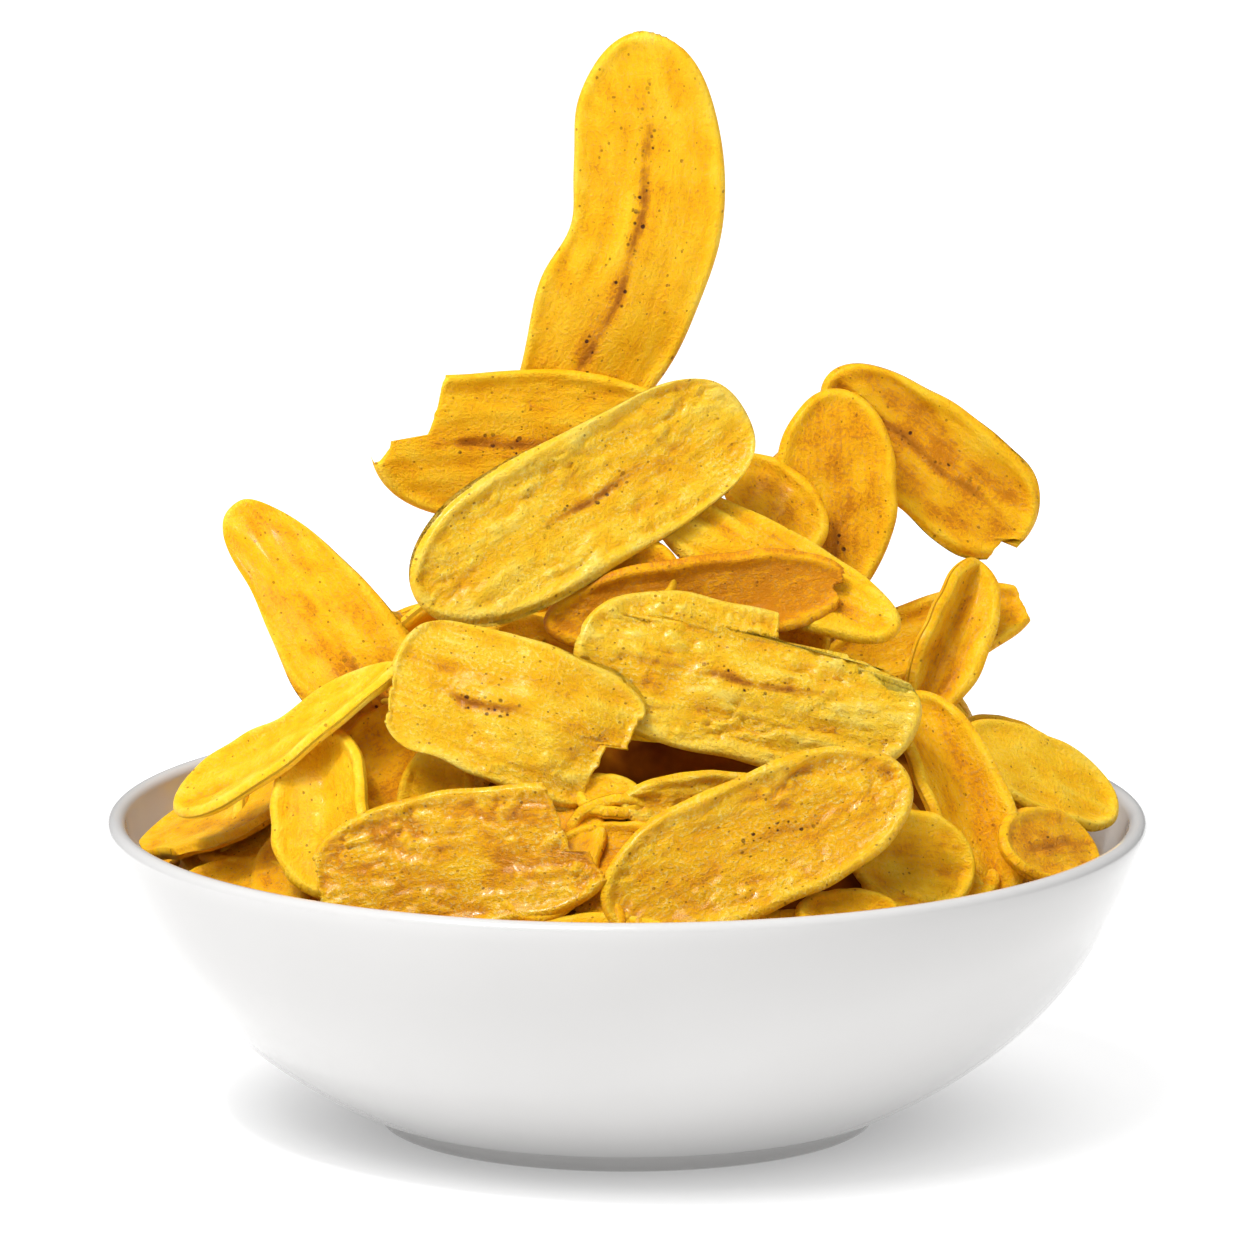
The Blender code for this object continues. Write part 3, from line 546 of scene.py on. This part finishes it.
def buildCrisp(place, look, seed, cells):
    s = crispSizes
    nu, nv = cells
    lengthwise, crosswise = s["crowding"]
    along, across = edgeCrowded(nu, lengthwise), edgeCrowded(nv, crosswise)
    split, gap = place.get("split", 0), s["splitGap"]
    if len(set(place.get("head", (0, 0)))) > 1 or len(set(place.get("tail", (0, 0)))) > 1:
        # torn in a step: the cells crowd towards both edges and keep clear of the tear
        lowCount = max(6, int(round(nv * (1 + split) / 2)))
        highCount = nv - lowCount
        below = (edgeCrowded(2 * lowCount - 1, crosswise)[:lowCount] + 1) * (1 + split - gap) - 1
        above = 1 - (edgeCrowded(2 * highCount - 1, crosswise)[:highCount][::-1] + 1) * (1 - split - gap)
        across = np.concatenate([below, above])
    u, v = np.meshgrid(along, across, indexing="ij")
    middle, flatX, flatY, outline, broken = crispSurface(u, v, place, seed, look.get("jag", s["jag"]))
    middle = keptInBowl(middle)
    normal = np.cross(np.gradient(middle, axis=0), np.gradient(middle, axis=1))
    normal /= np.maximum(np.linalg.norm(normal, axis=-1, keepdims=True), 1e-9)

    # thickness: a plump rounded rim, thinner inside, blunt where it broke
    edge = np.minimum(outline, broken * s["breakBlunt"])
    edge = np.where((np.abs(u) > 0.9999) | (np.abs(v) > 0.9999), 0, edge)
    plump = np.exp(-((outline - s["plumpPlace"]) / s["plumpReach"]) ** 2)
    half = (s["thinMiddle"] + (s["rimThickness"] - s["thinMiddle"]) * plump) / 2
    rounded = np.sqrt(np.maximum(0, 1 - (1 - np.clip(edge / s["edgeRound"], 0, 1)) ** 2))

    # the vein wanders a little, and shows most where the seeds are
    veinAway = flatY - s["veinDrift"] * smoothWave(seed + 13)(flatX / s["veinWave"])
    farthest = np.max(np.abs(flatX))
    reach = np.abs(flatX) / max(8.0, farthest)
    seedHere = np.exp(-((flatX / (farthest + 1e-6) - look.get("seedAt", 9))
                        / max(0.05, look.get("seedReach", 0.1))) ** 4)
    veinHere = look.get("vein", 0.4) * np.clip((s["veinEnd"] - reach) / 0.3, 0,
                                               1) * (0.25 + 0.75 * seedHere)

    # relief: bubbles, lengthwise creases, the groove of the vein, and a slow heave
    fade = np.clip((edge - s["fade"][0]) / s["fade"][1], 0, 1)
    blister = s["reliefGain"] * look.get("blister", 0.1)
    crease = s["reliefGain"] * look.get("crease", 0.0)
    grooveDeep, grooveWide = s["groove"]
    ridgeHigh, ridgePlace, ridgeWide = s["ridges"]
    sides = []
    for side in (0, 1):
        k = seed * 17 + side * 5
        # bubbles of uneven shape: the pattern is pushed about by a slow noise
        pushedX = flatX + 2.2 * softNoise(flatX / 5 + k, flatY / 5, k + 7)
        pushedY = flatY + 1.6 * softNoise(flatX / 5, flatY / 5 + k, k + 8)
        long, wide = s["bubbleSizes"]
        bubbles = (blisterField(pushedX / long + k, pushedY / wide + k, k) - s["sunkBetween"]) * blister
        long, wide = s["smallBubbleSizes"]
        small = (blisterField(pushedX / long + k, pushedY / wide, k + 1) - s["sunkBetween"]) * blister
        bubbles = bubbles + small * s["smallBubbles"]
        bubbles = bubbles - s["wrinkles"] * blister * np.abs(
            softNoise(pushedX / 2.4, pushedY / 1.9 + k, k + 9))
        patch = np.clip(0.75 + 0.8 * softNoise(flatX / 13 + k, flatY / 9, k + 2), 0.15, 1.5)
        long, wide = s["foldSizes"]
        folds = crease * softNoise(flatX / long + k, flatY / wide + 0.5 * np.sin(flatX / 14), k + 3)
        long, wide = s["smallFoldSizes"]
        folds = folds + s["smallFolds"] * crease * softNoise(flatX / long, flatY / wide + k, k + 4)
        groove = -grooveDeep * veinHere * np.exp(-(veinAway / grooveWide) ** 2)
        groove = groove + ridgeHigh * veinHere * np.exp(
            -((np.abs(veinAway) - ridgePlace) / ridgeWide) ** 2)
        sides.append((bubbles * patch + folds + groove) * fade)
    long, wide = s["heaveSize"]
    slow = s["heave"] * softNoise((0.8 * flatX + 0.6 * flatY) / long + seed,
                                  (0.8 * flatY - 0.6 * flatX) / wide, seed + 6) * fade
    top = middle + normal * (half * rounded + sides[0] + slow)[..., None]
    low = middle - normal * (half * rounded + sides[1] - slow)[..., None]

    # one closed skin: both sides share the outline's points
    topIndex = np.arange(nu * nv).reshape(nu, nv)
    inside = np.zeros((nu, nv), bool)
    inside[1:-1, 1:-1] = True
    lowIndex = topIndex.copy()
    lowIndex[inside] = nu * nv + np.arange(inside.sum())
    points = np.concatenate([top.reshape(-1, 3), low[inside]])
    topFaces, lowFaces = [
        np.stack([index[:-1, :-1], index[1:, :-1], index[1:, 1:], index[:-1, 1:]], -1).reshape(-1, 4)
        for index in (topIndex, lowIndex)]
    faces = np.concatenate([topFaces, lowFaces[:, ::-1]])

    def attribute(*parts):
        # each part is one field for both sides, or a pair of fields: above, below
        pairs = [part if isinstance(part, tuple) else (part, part) for part in parts]
        return np.stack([np.concatenate([a.reshape(-1), b[inside]]) for a, b in pairs], 1)

    shift = s["patternStep"] * seed
    flat = np.zeros((nu, nv))
    attributes = {
        "slicePlace": attribute((flatX + shift, flatX + shift + s["lowSideStep"]), flatY,
                                (flat + seed, flat + seed + 3)),
        "sliceVein": attribute(veinAway, veinHere, seedHere),
        "sliceState": attribute(np.exp(-(outline / s["paleReach"]) ** 2), flat + look.get("toast", 0.2),
                                tuple(sides)),
    }
    return points, faces, attributes


def joinedPiece(name, crisps):
    # several crisps as one mesh; each stays its own closed skin
    points, faces, attributes, base = [], [], {}, 0
    for p, f, a in crisps:
        points.append(p)
        faces.append(f + base)
        base += len(p)
        for key, value in a.items():
            attributes.setdefault(key, []).append(value)
    return meshFrom(name, np.concatenate(points), np.concatenate(faces),
                    {key: np.concatenate(value) for key, value in attributes.items()})


def onTheHeap(angle, radius, lean, yaw):
    # directions at a place on the slope: outwards, round about, along the slice, and its face
    out = np.array([math.cos(angle), math.sin(angle), 0])
    roundAbout = np.array([-math.sin(angle), math.cos(angle), 0])
    tilt = math.atan(float(domeLevel(radius - 1) - domeLevel(radius + 1)) / 2) + lean
    face = out * math.sin(tilt) + upward * math.cos(tilt)
    downhill = out * math.cos(tilt) - upward * math.sin(tilt)
    return out, roundAbout, roundAbout * math.cos(yaw) + downhill * math.sin(yaw), face


def chanceCrisp(draw, chance, middle, ahead, half, face):
    # one slice about its middle; its width and its bends are drawn last
    width, bow, cup, sag = [draw.uniform(*chance[key]) for key in ("widths", "bow", "cup", "sag")]
    return dict(start=middle - ahead * half, end=middle + ahead * half, width=width, face=face,
                bow=bow, cup=cup, sag=sag)


def ringCrisps():
    c = ringChance
    draw = np.random.RandomState(c["seed"])
    found = []
    for ring in backRings:
        for i in range(ring["count"]):
            share = (i + 0.5 + draw.uniform(-0.2, 0.2)) / ring["count"]
            angle = math.radians(ring["first"] + share * (ring["last"] - ring["first"]))
            lean = math.radians(draw.uniform(0.1, 1) * ring["lean"])
            yaw = draw.uniform(-c["yaw"], c["yaw"])
            out, roundAbout, ahead, face = onTheHeap(angle, ring["radius"], lean, yaw)
            half = draw.uniform(*c["lengths"]) / 2
            level = domeLevel(ring["radius"]) + draw.uniform(*c["lift"])
            middle = out * ring["radius"] + upward * (level - c["lowered"].get(len(found), 0))
            found.append(chanceCrisp(draw, c, middle, ahead, half, face))
    return found


def innerCrisps():
    c, w = innerChance, wallChance
    draw = np.random.RandomState(c["seed"])
    found = []
    for i in range(c["count"]):
        radius = c["reach"] * math.sqrt((i + 0.5) / c["count"]) * draw.uniform(*c["spread"])
        angle = i * c["turn"] + draw.uniform(-c["jitter"], c["jitter"])
        lean = math.radians(draw.uniform(-c["lean"], c["lean"]))
        sway = draw.uniform(-c["sway"], c["sway"])
        yaw = draw.uniform(-math.pi, math.pi)
        out, roundAbout, ahead, face = onTheHeap(angle, radius, lean, yaw)
        half = draw.uniform(*c["lengths"]) / 2
        middle = out * radius + upward * (float(domeLevel(radius)) + draw.uniform(*c["lift"]))
        aside = (middle[0] - coreSizes["pocket"][0]) / coreSizes["pocketHalf"][0]
        if abs(aside) < c["clearHalf"] and c["clearFront"][0] < middle[1] < c["clearFront"][1]:
            continue
        if middle[1] < c["ovalFront"] and c["ovalSides"][0] < middle[0] < c["ovalSides"][1]:
            middle[2] -= c["ovalDrop"]
        found.append(chanceCrisp(draw, c, middle, ahead, half, face + roundAbout * sway))
    for i in range(w["count"]):
        angle = (i + draw.uniform(-w["jitter"], w["jitter"])) / w["count"] * 2 * math.pi
        out = np.array([math.cos(angle), math.sin(angle), 0])
        ahead = np.array([-math.sin(angle), math.cos(angle), draw.uniform(-w["slant"], w["slant"])])
        tilt = math.radians(draw.uniform(*w["tilt"]))
        half = draw.uniform(*w["lengths"]) / 2
        middle = out * w["radius"] + upward * (float(domeLevel(w["radius"])) - w["sunk"])
        face = out * math.sin(tilt) + upward * math.cos(tilt)
        found.append(chanceCrisp(draw, w, middle, ahead, half, face))
    return found


def makeCore():
    # the body of the heap below the slices that show, lumpy with the edges of buried slices
    c = coreSizes
    radii = np.linspace(0, c["radius"] - c["edgeGap"], c["domeSteps"])
    profile = [(r, float(domeLevel(r)) - c["sunk"]) for r in radii]
    floor = bowlSizes["floorLevel"] + c["floorGap"]
    levels = np.linspace(c["wallTop"], floor, c["wallSteps"])
    profile += [(innerRadius(z) - c["wallGap"], z) for z in levels] + [(0, floor)]
    core = turned("crispCore", profile, c["steps"])
    co = np.zeros(len(core.data.vertices) * 3)
    core.data.vertices.foreach_get("co", co)
    co = co.reshape(-1, 3) / mm
    x, y = co[:, 0], co[:, 1]
    above = np.clip((co[:, 2] - c["rimLevel"] + c["calmBelow"][0]) / c["calmBelow"][1], 0, 1)
    depth = sum(high * np.abs(softNoise(x / wide, y / wide, seed)) for high, wide, seed in c["lumps"])
    # a deep dark hollow under the torn slice in front
    far = sum(((at - c["pocket"][axis]) / c["pocketHalf"][axis]) ** 2 for axis, at in enumerate((x, y)))
    depth = depth + c["pocketDepth"] * np.exp(-far ** 2)
    co[:, 2] -= above * depth
    core.data.vertices.foreach_set("co", (co * mm).ravel())
    core.data.update()
    return core


# fried plantain: colours from the palest rim to the most browned flesh, then the pale grains painted on the
# crumb as highlights, the painted shade of the hollows between them, and the dark spots. Pattern sizes are
# in mm.
plantain = {
    "body": ((0.0, "#FFDC58"), (0.25, "#FFCF2A"), (0.5, "#FCC00C"), (0.72, "#F4AF00"),
             (0.88, "#E59800"), (1.0, "#CF8000")),
    "glintPale": "#FFEC88", "shadedPit": "#D28C02", "vein": "#A4600A", "seed": "#522A0C", "speck": "#9A5C0E",
    # patches of browning, streaks along the fibres, and the crumb of the fried starch:
    # size, stretch along and across the slice, detail and roughness of the noise
    "patches": (7.0, (0.9, 1.1), 3.0, 0.6), "streaks": (1.3, (0.13, 1.0), 2.0, 0.5),
    "crumb": (0.9, (1.0, 1.15), 4.0, 0.7),
    # how much each one browns, from a start to a shift at the end
    "brownStart": -0.5, "brownShift": -0.3,
    # the relief's share paints shade into its hollows and highlight onto its tops
    "browning": {"patches": 1.0, "streaks": 0.3, "crumb": 1.3, "toast": 0.6, "rim": -0.32, "edge": 1.0,
                 "reliefShading": -0.34, "halo": 0.5},
    "haloReach": 5.0, "edgeToast": 0.25, "seedSpacing": 1.5, "seedRow": 1.4, "speckSpacing": 1.8,
    "speckStrength": 0.65, "heights": {"streaks": 0.35, "specks": -0.35, "seeds": -0.3},
}
# three ways that it fried: satin and finely pitted, blistered and oily, creased and dry.
# gloss: roughness of the crumb's tops; oil: the film on it; coarse: depth of the crumb, mm;
# and the last: how many pale grains are painted on the crumb's tops as painted highlights
friedWays = {"satin": dict(gloss=0.34, oil=0.06, coarse=0.8, paintedGlints=0.2),
             "blistered": dict(gloss=0.22, oil=0.24, coarse=1.2, paintedGlints=0.75),
             "creased": dict(gloss=0.40, oil=0.04, coarse=0.8, paintedGlints=0.35)}


def crispMaterial(name, gloss, oil, coarse, paintedGlints):
    # fried plantain: a starchy body browned from the middle out, with a film of frying oil, so the eye sees
    # a cream-yellow rim, a golden face with toasted bubbles, a brown vein with two rows of seeds, small
    # brown specks, and fine wet sparkle, partly a painted highlight of pale grains; painted shade darkens
    # the hollows of the relief and of the crumb
    p = plantain
    material, tree, shader = newMaterial(name, {
        "IOR": 1.46, "Specular IOR Level": 0.15, "Coat Weight": oil, "Coat Roughness": 0.16,
        "Subsurface Weight": 0.12, "Subsurface Radius": (1.0, 0.5, 0.08), "Subsurface Scale": 0.0015})
    maths, ranged = "ShaderNodeMath", "ShaderNodeMapRange"
    place, state, vein = [
        addNode(tree, "ShaderNodeAttribute", {"attribute_name": "slice" + part}).outputs["Vector"]
        for part in ("Place", "State", "Vein")]
    rim, tone, reliefShading = addNode(tree, "ShaderNodeSeparateXYZ", None, {0: state}).outputs
    veinAway, veinHere, seedHere = addNode(tree, "ShaderNodeSeparateXYZ", None, {0: vein}).outputs

    fields = {}
    for key in ("patches", "streaks", "crumb"):
        size, (along, across), detail, roughness = p[key]
        spread = addNode(tree, "ShaderNodeMapping", {"Scale": (along / size, across / size, 1)},
                         {"Vector": place})
        fields[key] = addNode(tree, "ShaderNodeTexNoise", {"Scale": 1.0, "Detail": detail,
                                                           "Roughness": roughness},
                              {"Vector": spread.outputs[0]}).outputs["Fac"]
    patches, streaks, crumb = fields.values()

    # how browned each point is, 0 to 1: patches and crumb, more where it is toasted, near the vein or at
    # the very edge, less at the rim; browner in the hollows of the relief and paler on its tops, as painted
    # shade and painted highlight
    edge = addNode(tree, ranged, {"From Min": 0.88, "From Max": 1.0, "To Min": 0.0,
                                  "To Max": p["edgeToast"]}, {"Value": rim}).outputs[0]
    beside = addNode(tree, maths, {"operation": "ABSOLUTE"}, {0: veinAway}).outputs[0]
    near = addNode(tree, maths, {"operation": "MULTIPLY_ADD", "use_clamp": True},
                   {0: beside, 1: -1 / p["haloReach"], 2: 1.0}).outputs[0]
    halo = near
    for part in (near, veinHere):
        halo = addNode(tree, maths, {"operation": "MULTIPLY"}, {0: halo, 1: part}).outputs[0]
    fields.update({"toast": tone, "rim": rim, "edge": edge, "reliefShading": reliefShading, "halo": halo})
    browned = p["brownStart"]
    for key, share in p["browning"].items():
        browned = addNode(tree, maths, {"operation": "MULTIPLY_ADD"},
                          {0: fields[key], 1: share, 2: browned}).outputs[0]
    browned = addNode(tree, maths, {"operation": "ADD", "use_clamp": True},
                      {0: browned, 1: p["brownShift"]}).outputs[0]
    body = addNode(tree, "ShaderNodeValToRGB", None, {"Fac": browned})
    setStops(body, p["body"])

    # pale grains on the tops of the crumb are painted highlights that stand in for its small glints, and
    # its hollows are painted darker as painted shade
    glintGrains = addNode(tree, ranged, {"From Min": 0.50, "From Max": 0.64, "To Min": 0.0, "To Max": paintedGlints},
                     {"Value": crumb}).outputs[0]
    glintPatch = addNode(tree, ranged, {"From Min": 0.4, "From Max": 0.6, "To Min": 1.0, "To Max": 0.25},
                         {"Value": patches}).outputs[0]
    glintGrains = addNode(tree, maths, {"operation": "MULTIPLY"}, {0: glintGrains, 1: glintPatch}).outputs[0]
    shadedPits = addNode(tree, ranged, {"From Min": 0.46, "From Max": 0.34, "To Min": 0.0, "To Max": 0.5},
                   {"Value": crumb}).outputs[0]

    # the vein: a soft brown line up to 1.5 mm wide that comes and goes, darkest among the seeds
    veinWidth = addNode(tree, maths, {"operation": "MULTIPLY_ADD"}, {0: streaks, 1: 1.8, 2: 0.4}).outputs[0]
    veinLine = addNode(tree, maths, {"operation": "DIVIDE"}, {0: beside, 1: veinWidth}).outputs[0]
    veinLine = addNode(tree, maths, {"operation": "SUBTRACT", "use_clamp": True},
                       {0: 1.0, 1: veinLine}).outputs[0]
    veinDark = addNode(tree, maths, {"operation": "MULTIPLY_ADD"},
                       {0: seedHere, 1: 0.7, 2: 0.35}).outputs[0]
    broken = addNode(tree, ranged, {"From Min": 0.38, "From Max": 0.6, "To Min": 0.15, "To Max": 1.3},
                     {"Value": patches}).outputs[0]

    # seeds: dark dots of 0.7 mm in two rows beside the vein; specks: flecks of 0.3 to 0.8 mm
    seedScale, speckScale = 1 / p["seedSpacing"], 1 / p["speckSpacing"]
    seedPlace = addNode(tree, "ShaderNodeMapping", {"Scale": (seedScale, seedScale, 0)}, {"Vector": place})
    seedCells = addNode(tree, "ShaderNodeTexVoronoi", {"Scale": 1.0, "Randomness": 0.95},
                        {"Vector": seedPlace.outputs[0]})
    seedPick = addNode(tree, "ShaderNodeSeparateColor", None, {0: seedCells.outputs["Color"]}).outputs[0]
    seedSize = addNode(tree, maths, {"operation": "MULTIPLY_ADD"}, {0: seedPick, 1: 2.8, 2: 0.5}).outputs[0]
    seedDot = addNode(tree, maths, {"operation": "MULTIPLY_ADD", "use_clamp": True},
                      {0: seedCells.outputs["Distance"], 1: -7.0, 2: seedSize}).outputs[0]
    rowAway = addNode(tree, maths, {"operation": "SUBTRACT"}, {0: beside, 1: p["seedRow"]}).outputs[0]
    rowAway = addNode(tree, maths, {"operation": "ABSOLUTE"}, {0: rowAway}).outputs[0]
    seedBand = addNode(tree, maths, {"operation": "MULTIPLY_ADD", "use_clamp": True},
                       {0: rowAway, 1: -3.0, 2: 3.6}).outputs[0]
    speckPlace = addNode(tree, "ShaderNodeMapping", {"Scale": (speckScale, 1.2 * speckScale, 0)},
                         {"Vector": place})
    speckCells = addNode(tree, "ShaderNodeTexVoronoi", {"Scale": 1.0}, {"Vector": speckPlace.outputs[0]})
    speckPick = addNode(tree, "ShaderNodeSeparateColor", None, {0: speckCells.outputs["Color"]}).outputs[0]
    speckSize = addNode(tree, maths, {"operation": "MULTIPLY_ADD"},
                        {0: speckPick, 1: 0.36, 2: -0.12}).outputs[0]
    speckDot = addNode(tree, maths, {"operation": "SUBTRACT"},
                       {0: speckSize, 1: speckCells.outputs["Distance"]}).outputs[0]
    speckDot = addNode(tree, maths, {"operation": "MULTIPLY", "use_clamp": True},
                       {0: speckDot, 1: 18.0}).outputs[0]

    # each mark is its own shape times all that makes it fade
    masks = []
    for parts in ((veinLine, veinDark, broken, veinHere), (seedDot, seedBand, broken, seedHere),
                  (speckDot, p["speckStrength"])):
        mask = parts[0]
        for number, part in enumerate(parts[1:], 1):
            mask = addNode(tree, maths, {"operation": "MULTIPLY", "use_clamp": number == 3},
                           {0: mask, 1: part}).outputs[0]
        masks.append(mask)
    colour = body.outputs[0]
    for share, paint in zip([glintGrains, shadedPits] + masks, ("glintPale", "shadedPit", "vein", "seed", "speck")):
        colour = addNode(tree, "ShaderNodeMix", {"data_type": "RGBA"},
                         {0: share, 6: colour, 7: hexColour(p[paint])}).outputs[2]
    tree.links.new(colour, shader.inputs["Base Color"])

    # bump: crumb and fibres raised, specks and seeds sunk as pits too small to model
    fields.update({"seeds": masks[1], "specks": masks[2]})
    height = crumb
    for key, share in p["heights"].items():
        height = addNode(tree, maths, {"operation": "MULTIPLY_ADD"},
                         {0: fields[key], 1: share, 2: height}).outputs[0]
    bump = addNode(tree, "ShaderNodeBump", {"Strength": 1.0, "Distance": coarse * mm}, {"Height": height})
    tree.links.new(bump.outputs["Normal"], shader.inputs["Normal"])
    rough = addNode(tree, ranged, {"From Min": 0.35, "From Max": 0.65, "To Min": gloss + 0.22,
                                   "To Max": gloss}, {"Value": crumb})
    tree.links.new(rough.outputs[0], shader.inputs["Roughness"])
    return material


# buried slices with their deep shade painted in: dark to light; the patches are 11 mm wide and their bumps
# 1 mm high
buriedShade = {"colours": ((0.3, "#6E3204"), (0.55, "#A05A06"), (0.75, "#BC7E0A")), "patchSize": 11.1,
          "patchHeight": 1.0}


def coreMaterial():
    # buried slices: the same fried starch with its deep shade painted into the colour, so it reads as a
    # warm golden brown, and as a red-brown dark in the pocket
    material, tree, shader = newMaterial("coreShadedPlantain", {"Roughness": 0.8, "Specular IOR Level": 0.08})
    place = addNode(tree, "ShaderNodeTexCoord").outputs["Object"]
    patches = addNode(tree, "ShaderNodeTexNoise", {"Scale": 1 / (buriedShade["patchSize"] * mm), "Detail": 4.0},
                      {"Vector": place}).outputs["Fac"]
    colour = addNode(tree, "ShaderNodeValToRGB", None, {"Fac": patches})
    setStops(colour, buriedShade["colours"])
    tree.links.new(colour.outputs["Color"], shader.inputs["Base Color"])
    bump = addNode(tree, "ShaderNodeBump", {"Strength": 0.6, "Distance": buriedShade["patchHeight"] * mm},
                   {"Height": patches})
    tree.links.new(bump.outputs["Normal"], shader.inputs["Normal"])
    return material


# build

bowl = makeBowl()
bowl.data.materials.append(porcelainMaterial())
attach(bowl, "root")
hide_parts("bowl")
print("bowl done")

# every slice has its own seed; the ones that a rule places draw their look as well
kinds = {kind: [] for kind in fineCells}
seed = 0
for name, place in crispPlaces.items():
    seed += 1
    look = crispLooks[name]
    kinds[look["kind"]].append(buildCrisp(place, look, seed, fineCells[look["kind"]]))
chance = np.random.RandomState(77)
for place in ringCrisps():
    seed += 1
    look = dict(blister=chance.uniform(0.08, 0.35), crease=chance.choice([0, 0, 0.25]),
                toast=chance.uniform(-0.15, 0.45), vein=chance.uniform(0.2, 0.7),
                seedAt=chance.uniform(-0.4, 0.4), seedReach=chance.uniform(0.2, 0.5))
    kinds["back"].append(buildCrisp(place, look, seed, fineCells["back"]))
for place in innerCrisps():
    seed += 1
    # the slices underneath get more toast than those on top: painted shade, as they show only in the gaps
    look = dict(blister=0.2, toast=chance.uniform(0.2, 0.6), vein=chance.uniform(0, 0.5))
    kinds["inner"].append(buildCrisp(place, look, seed, fineCells["inner"]))
print("crisps shaped")

materials = {kind: crispMaterial(kind + "Plantain", **way) for kind, way in friedWays.items()}
materials["back"] = materials["satin"]
materials["inner"] = materials["creased"]
heap = []
for kind, crisps in kinds.items():
    piece = joinedPiece(kind + "Crisps", crisps)
    piece.data.materials.append(materials[kind])
    heap.append(piece)
    print(kind, len(crisps), "crisps", sum(len(p.vertices) - 2 for p in piece.data.polygons), "triangles")
core = makeCore()
core.data.materials.append(coreMaterial())
heap.append(core)
for piece in heap:
    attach(piece, "root")
    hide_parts("crisps")

# studio: pale floor, soft light from the upper left, long lens; places in m, power in W
# the floor's glow fades into a painted shadow round the bowl, over the reach given in m
studio = {"floorSize": 12.0, "floorColour": "#C2C2C2", "floorGlow": (0.28, 0.72),
          "shadowReach": (0.045, 0.13), "sky": (0.22, 0.55),
          "keyLight": dict(place=(-1.2, -1.6, 3.4), size=2.6, power=140.0),
          "glintLight": dict(place=(-1.2, -1.3, 2.9), size=0.2, power=34.0),
          "elevation": 11.5, "distance": 5.0, "aim": (0, 0, 0.1155), "lens": 624.6}
white = (1, 1, 1, 1)
aim = Vector(studio["aim"])

# a floor of matt white acrylic that glows, with a painted shadow: its glow is dimmer towards the foot of
# the bowl
bpy.ops.mesh.primitive_plane_add(size=studio["floorSize"], location=(0, 0, 0))
floor = bpy.context.object
floor.name = "studioFloor"
floorMaterial, floorTree, floorShader = newMaterial("mattAcrylic", {
    "Base Color": hexColour(studio["floorColour"]), "Roughness": 0.9, "Emission Color": white})
floorPlace = addNode(floorTree, "ShaderNodeTexCoord").outputs["Object"]
fromFoot = addNode(floorTree, "ShaderNodeVectorMath", {"operation": "LENGTH"}, {0: floorPlace})
glowAndShadow = addNode(floorTree, "ShaderNodeMapRange",
               {"interpolation_type": "SMOOTHSTEP", "From Min": studio["shadowReach"][0],
                "From Max": studio["shadowReach"][1], "To Min": studio["floorGlow"][0],
                "To Max": studio["floorGlow"][1]}, {"Value": fromFoot.outputs["Value"]})
floorTree.links.new(glowAndShadow.outputs[0], floorShader.inputs["Emission Strength"])
floor.data.materials.append(floorMaterial)

# a dome of white cloth, brightest overhead
world = bpy.data.worlds.new("softStudio")
world.use_nodes = True
skyTree = world.node_tree
direction = addNode(skyTree, "ShaderNodeTexCoord").outputs["Generated"]
overhead = addNode(skyTree, "ShaderNodeSeparateXYZ", None, {0: direction}).outputs[2]
dome = addNode(skyTree, "ShaderNodeMapRange", {"From Min": 0.0, "From Max": 1.0, "To Min": studio["sky"][0],
                                               "To Max": studio["sky"][1]}, {"Value": overhead})
background = skyTree.nodes["Background"]
background.inputs["Color"].default_value = white
skyTree.links.new(dome.outputs[0], background.inputs["Strength"])
bpy.context.scene.world = world

# a large soft key light, and a small one for the glints on glaze and oil
for name in ("keyLight", "glintLight"):
    setup = studio[name]
    light = bpy.data.lights.new(name, "AREA")
    light.shape = "DISK"
    light.size = setup["size"]
    light.energy = setup["power"]
    lamp = placed(name, light)
    lamp.location = setup["place"]
    lamp.rotation_euler = (aim - Vector(setup["place"])).to_track_quat("-Z", "Y").to_euler()

camera = bpy.data.cameras.new("camera")
camera.lens = studio["lens"]
camera.sensor_width = 36
camera.clip_end = 50
view = placed("camera", camera)
tilt = math.radians(studio["elevation"])
view.location = aim + studio["distance"] * Vector((0, -math.cos(tilt), math.sin(tilt)))
view.rotation_euler = (math.pi / 2 - tilt, 0, 0)
bpy.context.scene.camera = view
print("studio done")
